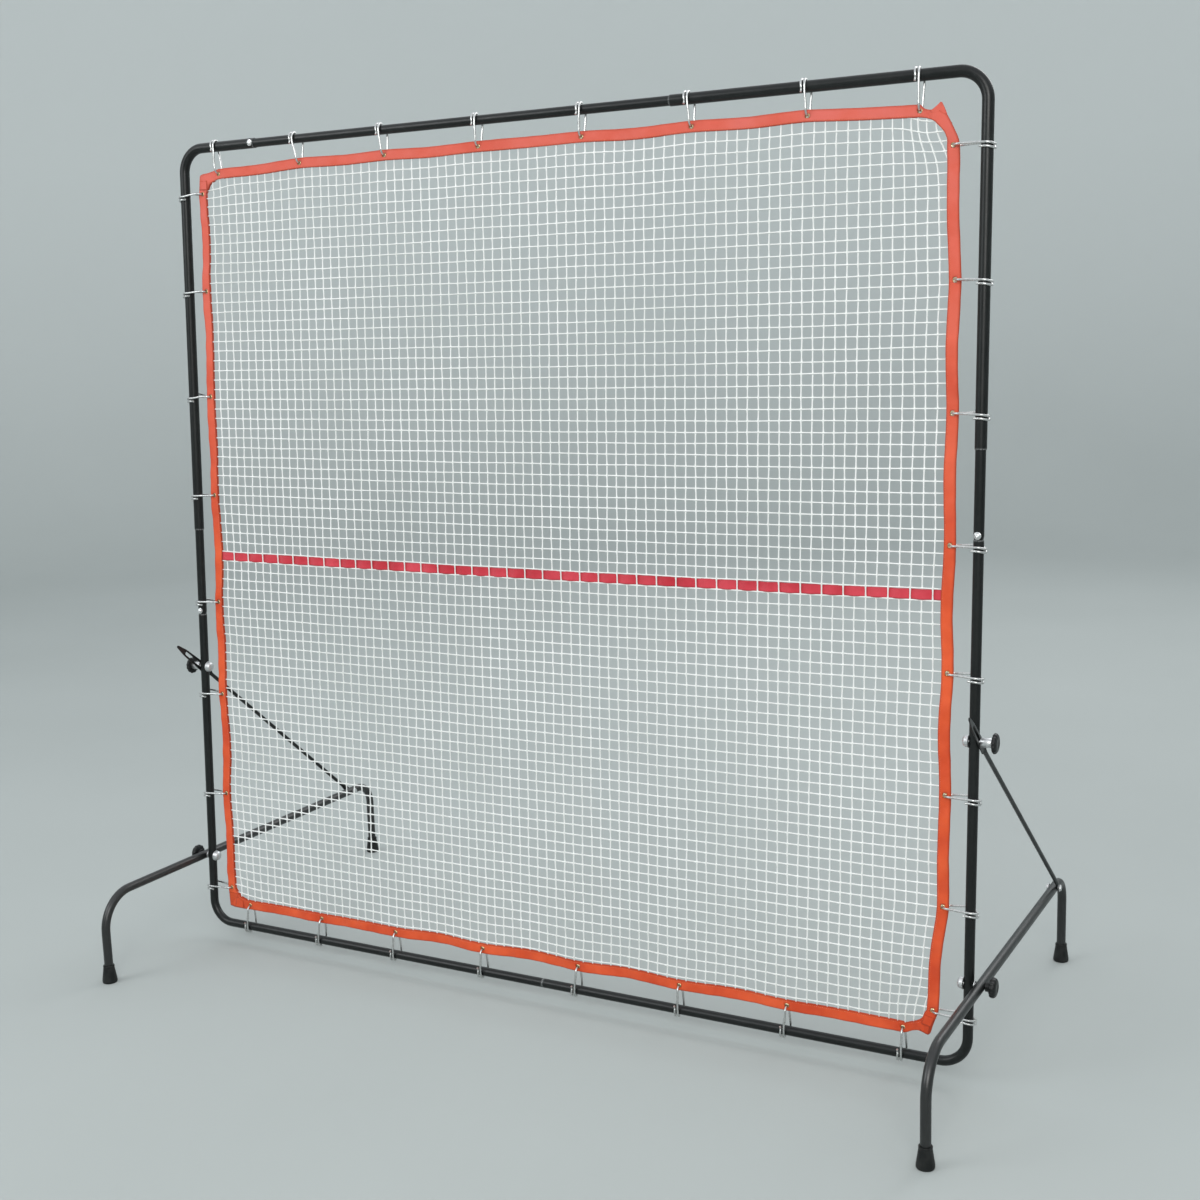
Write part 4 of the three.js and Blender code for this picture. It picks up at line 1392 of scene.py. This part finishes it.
# Each layer's four corners in millimetres from the side tube and the level tube, and how far its
# four corners stand forward of the tape's middle.
corner_flaps = {
    ("left", "top"): (
        [((55, 68), (84, 65), (84, 91), (57, 96)), (3.0, 3.6, 3.4, 2.6)],
        [((54, 82), (79, 83), (77, 106), (50, 105)), (4.2, 5.0, 3.2, 3.0)],
    ),
    ("left", "bottom"): (
        [((61, 50), (84, 48), (90, 86), (57, 88)), (3.4, 4.2, 3.2, 2.6)],
        [((78, 48), (108, 47), (106, 74), (84, 77)), (4.6, 3.2, 3.2, 4.2)],
    ),
    ("right", "bottom"): (
        [((85, 54), (104, 60), (106, 84), (79, 82)), (5.4, 5.6, 4.0, 3.6)],
        [((80, 72), (100, 76), (95, 98), (72, 92)), (5.2, 5.6, 3.2, 3.0)],
    ),
    ("right", "top"): (
        [((96, 73), (113, 71), (110, 90), (90, 100)), (4.6, 3.0, 3.0, 4.6)],
        [((70, 100), (86, 84), (104, 94), (88, 112)), (5.4, 6.4, 5.0, 4.6)],
    ),
}


flap_points, flap_faces, flap_along, flap_across, flap_painted_shade = [], [], [], [], []
grid_u, grid_v = np.meshgrid(
    np.linspace(0, 1, flap_columns), np.linspace(0, 1, flap_rows), indexing="ij"
)
for corner, layers in corner_flaps.items():
    for layer_number, (outline, stands) in enumerate(layers):
        weights = (
            (1 - grid_u) * (1 - grid_v), grid_u * (1 - grid_v), grid_u * grid_v,
            (1 - grid_u) * grid_v,
        )
        a, b, stand = (
            sum(weight * value for weight, value in zip(weights, values)) / 1000
            for values in (*zip(*outline), stands)
        )
        turns_u, turns_v, turns_layer = flap_wave_turns
        stand = stand + flap_wave * np.sin(
            turns_u * grid_u + turns_v * grid_v + turns_layer * layer_number
        )
        first = len(flap_points) * flap_columns * flap_rows
        flap_points.append(in_net(*from_corner(corner, a, b), -stand))
        flap_faces += sheet_faces(flap_columns, flap_rows, first)
        flap_along.append(a + b * flap_weave_slant)
        flap_across.append(b)
        # Painted shade: each layer is darkened towards its rims, and the lower one everywhere.
        rim = np.maximum(np.abs(2 * grid_u - 1), np.abs(2 * grid_v - 1)) ** 4
        flap_painted_shade.append(np.maximum(rim, 0 if layer_number else lower_layer_painted_shade))
corner_layers = make_piece(
    "tape_corner_layers", flap_points, flap_faces, orange_webbing, "frame", "border_webbing",
    marks={
        "along": np.ravel(flap_along), "across": np.ravel(flap_across), "edge": np.ravel(flap_painted_shade),
    },
)
thicken(corner_layers, flap_thickness)

# The ear from its foot to its tip, in millimetres: its left edge and its right edge, each by two
# values as above, half its thickness, and how far it stands forward.
ear_stations = np.array([
    (117, 73, 80, 86, 1.9, 3.5),
    (108, 67, 83, 77, 1.7, 4.0),
    (100, 61, 87, 67, 1.4, 5.0),
    (95, 57, 91, 58, 0.9, 7.0),
]) / 1000
ear_angles = round_angles(ear_sides)
ear_rows = []
for step in np.linspace(0, len(ear_stations) - 1, ear_steps):
    left_a, left_b, right_a, right_b, thickness, stand = (
        np.interp(step, range(len(ear_stations)), values) for values in ear_stations.T
    )
    sway, thick = swollen(ear_angles, 0.5, thickness, ear_squareness)
    a = (left_a + right_a) / 2 + sway * (left_a - right_a)
    b = (left_b + right_b) / 2 + sway * (left_b - right_b)
    crease_wave = ear_wave * np.sin(sway * ear_wave_turns + step)
    ear_rows.append(in_net(*from_corner(("right", "top"), a, b), thick - stand + crease_wave))
ear = make_piece(
    "tape_corner_fold", *mesh_of([np.array(ear_rows)], capped=True), orange_webbing,
    "frame", "border_webbing",
    marks={
        "along": np.tile(np.arange(ear_sides) * ear_weave_step, ear_steps),
        "across": np.repeat(np.linspace(0, tape_width, ear_steps), ear_sides),
        # Painted shade towards the ear's left and right edges.
        "edge": np.tile(np.abs(np.cos(ear_angles)) ** 5, ear_steps),
    },
)

# Stitching. A row of orange polyester thread, sewn through both layers of the tape by machine, a few
# millimetres from their free edges. It holds the net's edge in the fold.
stitch_length = 0.0032
stitch_pitch = 0.0048
stitch_radius = 0.00042
stitch_share = 0.87
stitch_sides = 5


def sewing_thread():
    finish, shader, place = start_finish("sewing_thread", (0.80, 0.17, 0.075), 0.6)
    shade = between(grain(place, 300, 2), 0, 1)
    thread = mix_colours(shade, (0.62, 0.095, 0.035), (0.86, 0.21, 0.10))
    fuzz = relief(grain(place, 2500, 1), 0.00004)
    set_inputs(shader, {"Base Color": thread, "Sheen Weight": 0.3, "Normal": fuzz})
    return finish


stitch_line = tape_outer + stitch_share * (tape_inner - tape_outer)
stitch_count = int(tape_length / stitch_pitch)
closed_along = np.append(tape_along, tape_length)


def along_tape(distances, values):
    """Values of the tape's places at distances along it, which may run past its start or end."""
    return np.interp(np.mod(distances, tape_length), closed_along, np.append(values, values[0]))


stitches = []
middles = (np.arange(stitch_count) + 0.5) * tape_length / stitch_count
for face_side in (-1, 1):
    offset = face_side * (tape_half_thickness + webbing_thickness / 2)
    for middle in middles:
        distances = middle + stitch_length * np.array((-0.5, -0.2, 0.2, 0.5))
        x = along_tape(distances, stitch_line[:, 0])
        above = along_tape(distances, stitch_line[:, 1])
        stand = along_tape(distances, tape_stand)
        lift = np.array((-0.7, 0.45, 0.45, -0.7)) * stitch_radius * face_side
        places = np.stack([x, above], axis=1)
        back = offset + lift + webbing_back(distances, stitch_share, stand, places)
        stitches.append(wire_along(in_net(x, above, back), stitch_radius, stitch_sides))
stitching = make_piece(
    "tape_stitching", *mesh_of(stitches, capped=True), sewing_thread(), "frame", "border_webbing"
)

# Eyelets. Brass rings pressed through both layers of the tape, one for each wire ring, with a
# rounded flange on the front and on the back.
eyelet_inner_radius = 0.0035
eyelet_flange_radius = 0.0051
eyelet_flange_height = 0.0009
eyelet_wall_radius = 0.00392
eyelet_wall_inset = 0.0002
eyelet_columns = 28
half_barrel = tape_half_thickness + webbing_thickness / 2
eyelet_half = [
    (half_barrel * 0.6, eyelet_inner_radius),
    (half_barrel + eyelet_flange_height * 0.7, eyelet_inner_radius * 1.15),
    (half_barrel + eyelet_flange_height, eyelet_flange_radius * 0.78),
    (half_barrel + eyelet_flange_height * 0.6, eyelet_flange_radius * 0.94),
    (half_barrel, eyelet_flange_radius),
]
eyelet_profile = [
    *((-back, radius) for back, radius in reversed(eyelet_half)),
    *eyelet_half,
    (half_barrel - eyelet_wall_inset, eyelet_wall_radius),
    (-half_barrel + eyelet_wall_inset, eyelet_wall_radius),
]
pressed_brass = bright_zinc("pressed_brass", (0.80, 0.62, 0.33), 0.22, 0.38)
barrels = [
    turned(eyelet_profile, in_net(x, above), backward, eyelet_columns)
    for x, above in eyelet_centres
]
eyelets = make_piece(
    "tape_eyelets", *mesh_of(barrels, joined=True), pressed_brass, "frame", "bright_steel", crease=60
)

# Net. Knotless mesh of white twisted polyethylene cord: upright and level strings pass over and
# under each other and are locked where they cross. Its edge is held in the tape, so the outer
# strings follow the tape's scallops and are gathered towards the corner folds.
string_radius = 0.0016
crossing_radius = 0.0021
hemmed_radius = 0.0012
string_sides = 5
weave_lift = 0.0010
pitch_across = 0.0249
pitch_up = 0.0249
lowest_pitch_up = 0.0232
strings_upright = 80
rows_below_ribbon = 41
rows_above_ribbon = 41
parts_a_square = 3
edge_follow = 0.095
hem_follow = 0.060
net_tuck_share = 0.30
hem_margin_share = 0.08
string_turn = 0.0042
strands_a_string = 3
string_slack = 0.0012
spare_squares = 4
pull_share = 0.8
net_sag = 0.004
slack_wave = 0.0022
slack_wave_across, slack_wave_up = (2.1, 0.7), (1.9, 0.4)
slack_ripple = 0.0012
slack_ripple_turns = (6.3, 2.2)
end_halvings = 8

# How far each corner fold draws the strings near it inward and up, and how far round it.
corner_pulls = {
    ("right", "top"): (0.030, -0.016, 0.075),
    ("left", "top"): (0.004, -0.010, 0.060),
    ("left", "bottom"): (0.004, 0.008, 0.060),
    ("right", "bottom"): (0.016, 0.012, 0.080),
}
ribbon_height = sum(span("centre_ribbon", upward)) / 2 - bottom_line


def sag(x):
    """How much lower the net hangs between its sides."""
    return net_sag * (x / side_line) ** 2 - net_sag


def net_place(x, above):
    """Where a place of the flat mesh lies once the tape and the corner folds have drawn it in."""
    shift_x = np.zeros_like(x)
    shift_up = np.zeros_like(x)
    for side_name, direction in (("left", 1), ("right", -1)):
        gap = side_line - tape_inner_depth + direction * x
        pull = drawn_in(side_name, above) * np.exp(-np.maximum(gap, 0) / edge_follow)
        shift_x = shift_x + direction * pull * pull_share
    for side_name, direction in (("bottom", 1), ("top", -1)):
        height = above if side_name == "bottom" else frame_height - above
        gap = height - tape_inner_depth
        pull = drawn_in(side_name, x) * np.exp(-np.maximum(gap, 0) / edge_follow)
        shift_up = shift_up + direction * pull * pull_share
    for corner, (inward, upwards, reach) in corner_pulls.items():
        corner_x, corner_up = from_corner(corner, tape_inner_depth, tape_inner_depth)
        near = np.exp(-(((x - corner_x) ** 2 + (above - corner_up) ** 2) / reach ** 2))
        shift_x = shift_x - math.copysign(inward, corner_x) * near
        shift_up = shift_up + upwards * near
    return x + shift_x, above + shift_up + sag(x)


def bulge(x, above):
    """How far back the slack of the net stands from the frame's plane."""
    (turns_across, start_across), (turns_up, start_up) = slack_wave_across, slack_wave_up
    waves = (
        slack_wave * np.sin(turns_across * x + start_across) * np.sin(turns_up * above + start_up)
    )
    ripple_across, ripple_up = slack_ripple_turns
    return waves + slack_ripple * np.sin(ripple_across * x - ripple_up * above)


def string_back(x, above):
    """How far back a string lies: in the tape where it ends there, and else in the net's slack."""
    places = np.stack([x, above], axis=1)
    ways = np.linalg.norm(places[:, None, :] - tape_inner[None, :, :], axis=2)
    row = ways.argmin(axis=1)
    free = ease(ways.min(axis=1) / hem_follow)
    hemmed = webbing_back(tape_along[row], 1.0, tape_stand[row], places)
    return free * bulge(x, above) + (1 - free) * hemmed


net_edge = tape_inner + net_tuck_share * (tape_outer - tape_inner)
hem_edge = tape_inner - hem_margin_share * (tape_outer - tape_inner)


def inside_line(x, above, line):
    """Whether places lie inside a closed line of the frame's plane."""
    start, end = line, np.roll(line, -1, axis=0)
    x, above = np.asarray(x)[:, None], np.asarray(above)[:, None]
    spans_it = (start[:, 1] > above) != (end[:, 1] > above)
    rise = np.where(end[:, 1] == start[:, 1], 1e-12, end[:, 1] - start[:, 1])
    crossing = start[:, 0] + (above - start[:, 1]) / rise * (end[:, 0] - start[:, 0])
    return (spans_it & (x < crossing)).sum(axis=1) % 2 == 1


def end_share(inner_place, outer_place):
    """How far towards an outer place a string goes before it ends in the tape."""
    low, high = 0.0, 1.0
    for _ in range(end_halvings):
        middle = (low + high) / 2
        x, above = np.array(inner_place) + middle * (np.array(outer_place) - np.array(inner_place))
        if inside_line([x], [above], net_edge)[0]:
            low = middle
        else:
            high = middle
    return low


def string_mesh(strings):
    """One mesh of many strings, each a list of flat places with its lift back and its radius."""
    angles = round_angles(string_sides)
    parts, lays = [], []
    for x, above, back, radius in strings:
        line = in_net(x, above, back)
        parts.append(rings_round(line, headings_along(line), backward, radius, string_sides))
        lay = np.zeros((len(line), string_sides, 3))
        lay[:, :, 0] = np.cos(angles)
        lay[:, :, 1] = np.sin(angles)
        lay[:, :, 2] = lengths_along(line)[:, None]
        lays.append(lay.reshape(-1, 3))
    return *mesh_of(parts, capped=True), np.concatenate(lays)


def run_of_string(fixed, moving, is_crossing, sign, upright):
    """One string: its places in the drawn-in net, cut where it goes under the tape."""
    level = np.full_like(moving, fixed)
    placed_x, placed_up = net_place(level, moving) if upright else net_place(moving, level)
    placed_x = placed_x + string_slack * np.sin(moving * 23 + fixed * 91) / 2
    placed_up = placed_up + string_slack * np.sin(moving * 19 - fixed * 77) / 2
    inside = inside_line(placed_x, placed_up, net_edge)
    if inside.sum() < 3:
        return None
    first, last = np.nonzero(inside)[0][[0, -1]]
    keep = slice(first, last + 1)
    places = np.stack([placed_x, placed_up], axis=1)
    ends = []
    for near, far in ((first, first - 1), (last, last + 1)):
        share = end_share(places[near], places[far])
        ends.append(places[near] + share * (places[far] - places[near]))
    line = np.concatenate([[ends[0]], places[keep], [ends[1]]])
    hemmed = ~inside_line(line[:, 0], line[:, 1], hem_edge)
    lift = np.where(is_crossing, sign * weave_lift, 0.0)
    lift = np.where(hemmed, 0, np.concatenate([[0], lift[keep], [0]]))
    radius = np.where(is_crossing, crossing_radius, string_radius)
    radius = np.where(hemmed, hemmed_radius, np.concatenate([[0], radius[keep], [0]]))
    return line[:, 0], line[:, 1], lift + string_back(line[:, 0], line[:, 1]), radius


def twisted_cord():
    finish, shader, place = start_finish("twisted_cord", (0.80, 0.81, 0.79), 0.7)
    lay_mark = mark_on(shader, "lay", "Vector")
    lay = add_node(shader.id_data, "ShaderNodeSeparateXYZ", {0: lay_mark}).outputs
    strands = calculate("MULTIPLY", calculate("ARCTAN2", lay["Y"], lay["X"]), strands_a_string)
    climb = calculate("MULTIPLY", lay["Z"], 2 * math.pi / string_turn)
    ridge = calculate("SINE", calculate("ADD", strands, climb))
    soil = between(grain(place, 3.5, 5), 0, 1, 0.4, 0.7)
    cord = mix_colours(soil, (0.92, 0.925, 0.91), (0.82, 0.835, 0.81))
    # Painted shade: the grooves between the cord's strands are darkened.
    cord = mix_colours(between(ridge, 0.16, 0, -1, 0.3), cord, (0.58, 0.60, 0.57))
    strand_relief = relief(ridge, 0.00025, 0.7)
    set_inputs(shader, {"Base Color": cord, "Sheen Weight": 0.2, "Normal": strand_relief})
    return finish


white_cord = twisted_cord()
column_numbers = np.arange(strings_upright)
row_numbers = np.arange(-rows_below_ribbon, rows_above_ribbon)
column_places = (column_numbers - (strings_upright - 1) / 2) * pitch_across
tightening = (pitch_up - lowest_pitch_up) / (2 * rows_below_ribbon)
row_places = ribbon_height + (row_numbers + 0.5) * pitch_up + tightening * np.where(
    row_numbers < 0, row_numbers ** 2, 0
)
upright_steps = np.arange(
    -spare_squares * parts_a_square, (len(row_places) + spare_squares) * parts_a_square
)
upright_moving = np.interp(
    upright_steps / parts_a_square,
    np.arange(-spare_squares, len(row_places) + spare_squares),
    np.concatenate([
        row_places[0] - lowest_pitch_up * np.arange(spare_squares, 0, -1),
        row_places,
        row_places[-1] + pitch_up * np.arange(1, spare_squares + 1),
    ]),
)
level_steps = np.arange(
    -spare_squares * parts_a_square, (strings_upright + spare_squares) * parts_a_square
)
level_moving = column_places[0] + level_steps * pitch_across / parts_a_square


def crossings(steps, count, number, flip):
    """Which places along a string are crossings, and on which side it passes there."""
    squares = steps // parts_a_square
    is_crossing = (steps % parts_a_square == 0) & (squares >= 0) & (squares < count)
    sign = np.where((squares + number) % 2 == 0, flip, -flip)
    return is_crossing, sign


upright_strings = [
    run_of_string(x, upright_moving, *crossings(upright_steps, len(row_places), number, 1), True)
    for number, x in enumerate(column_places)
]
level_strings = [
    run_of_string(above, level_moving, *crossings(level_steps, strings_upright, number, -1), False)
    for number, above in enumerate(row_places)
]
for name, strings in (
    ("net_upright_strings_left", upright_strings[:strings_upright // 2]),
    ("net_upright_strings_right", upright_strings[strings_upright // 2:]),
    ("net_level_strings_lower", level_strings[:rows_below_ribbon]),
    ("net_level_strings_upper", level_strings[rows_below_ribbon:]),
):
    points, faces, lays = string_mesh([string for string in strings if string])
    make_piece(
        name, points, faces, white_cord, "frame", "net_string", ("net",), {"lay": lays}, crease=80
    )

# Centre ribbon. A crimson woven ribbon at the height of a court's net, threaded in front of one
# upright string and behind the next, with both ends sewn in between the tape's two layers.
ribbon_width = 0.022
ribbon_thickness = 0.0008
ribbon_columns = 9
ribbon_lift = 0.0035
ribbon_rise = 0.013
ribbon_curl = 0.0004
ribbon_drifts = ((0.0003, 7.0, 0.0), (0.0002, 17.0, 1.0))
# Painted shade: how dark the ribbon is painted at its edges.
ribbon_painted_edge_shade = 0.8
parts_a_weave = 6

ribbon_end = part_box("centre_ribbon")[1].x
ribbon_steps = int(2 * ribbon_end / (pitch_across / parts_a_weave))
ribbon_x = np.linspace(-ribbon_end, ribbon_end, ribbon_steps + 1)
string_x = net_place(column_places, np.full(strings_upright, ribbon_height))[0]
string_count = np.interp(ribbon_x, string_x, column_numbers)
weave = np.cos(math.pi * string_count) * ribbon_lift
from_tape, hemmed = np.zeros_like(ribbon_x), np.zeros_like(ribbon_x)
for hand in (-1, 1):
    across_the_net = np.where(tape_inner[:, 0] * hand > 0, 0, frame_height)
    row = (np.abs(tape_inner[:, 1] - ribbon_height) + across_the_net).argmin()
    here = (ribbon_x >= 0) == (hand > 0)
    from_tape[here] = hand * (tape_inner[row, 0] - ribbon_x[here])
    places = np.stack([ribbon_x[here], np.full(here.sum(), ribbon_height)], axis=1)
    deep = np.clip(1 + from_tape[here] / tape_width, 0, 1)
    hemmed[here] = webbing_back(tape_along[row], deep, tape_stand[row], places)
weave = weave * ease(from_tape / ribbon_rise)
free = ease(from_tape / hem_follow)
ribbon_across = np.linspace(-0.5, 0.5, ribbon_columns)
ribbon_x_grid, ribbon_up_grid = np.meshgrid(ribbon_x, ribbon_across * ribbon_width, indexing="ij")
drift = sum(height * np.sin(ribbon_x * turns + start) for height, turns, start in ribbon_drifts)
curl = ribbon_curl * np.cos(2 * math.pi * ribbon_across)[None, :]
ribbon_points = in_net(
    ribbon_x_grid,
    ribbon_up_grid + ribbon_height + (drift + sag(ribbon_x))[:, None],
    (weave + (1 - free) * hemmed)[:, None] + curl
    + free[:, None] * bulge(ribbon_x_grid, ribbon_height + ribbon_up_grid),
)
ribbon_faces = sheet_faces(ribbon_steps + 1, ribbon_columns)
crimson_webbing = webbing(
    "crimson_webbing", deep=(0.56, 0.034, 0.052), bright=(0.74, 0.076, 0.105),
    lit_top_tone=(0.74, 0.095, 0.130), rib_pitch=0.0011, yarn_pitch=0.0009,
)
ribbon = make_piece(
    "centre_ribbon_woven", ribbon_points, ribbon_faces, crimson_webbing, "frame", "ribbon_webbing",
    ("centre_ribbon",),
    {
        "along": np.repeat(ribbon_x, ribbon_columns),
        "across": np.tile(ribbon_across * ribbon_width, ribbon_steps + 1),
        "edge": np.tile(np.abs(2 * ribbon_across) ** 4 * ribbon_painted_edge_shade, ribbon_steps + 1),
    },
    crease=70,
)
thicken(ribbon, ribbon_thickness)
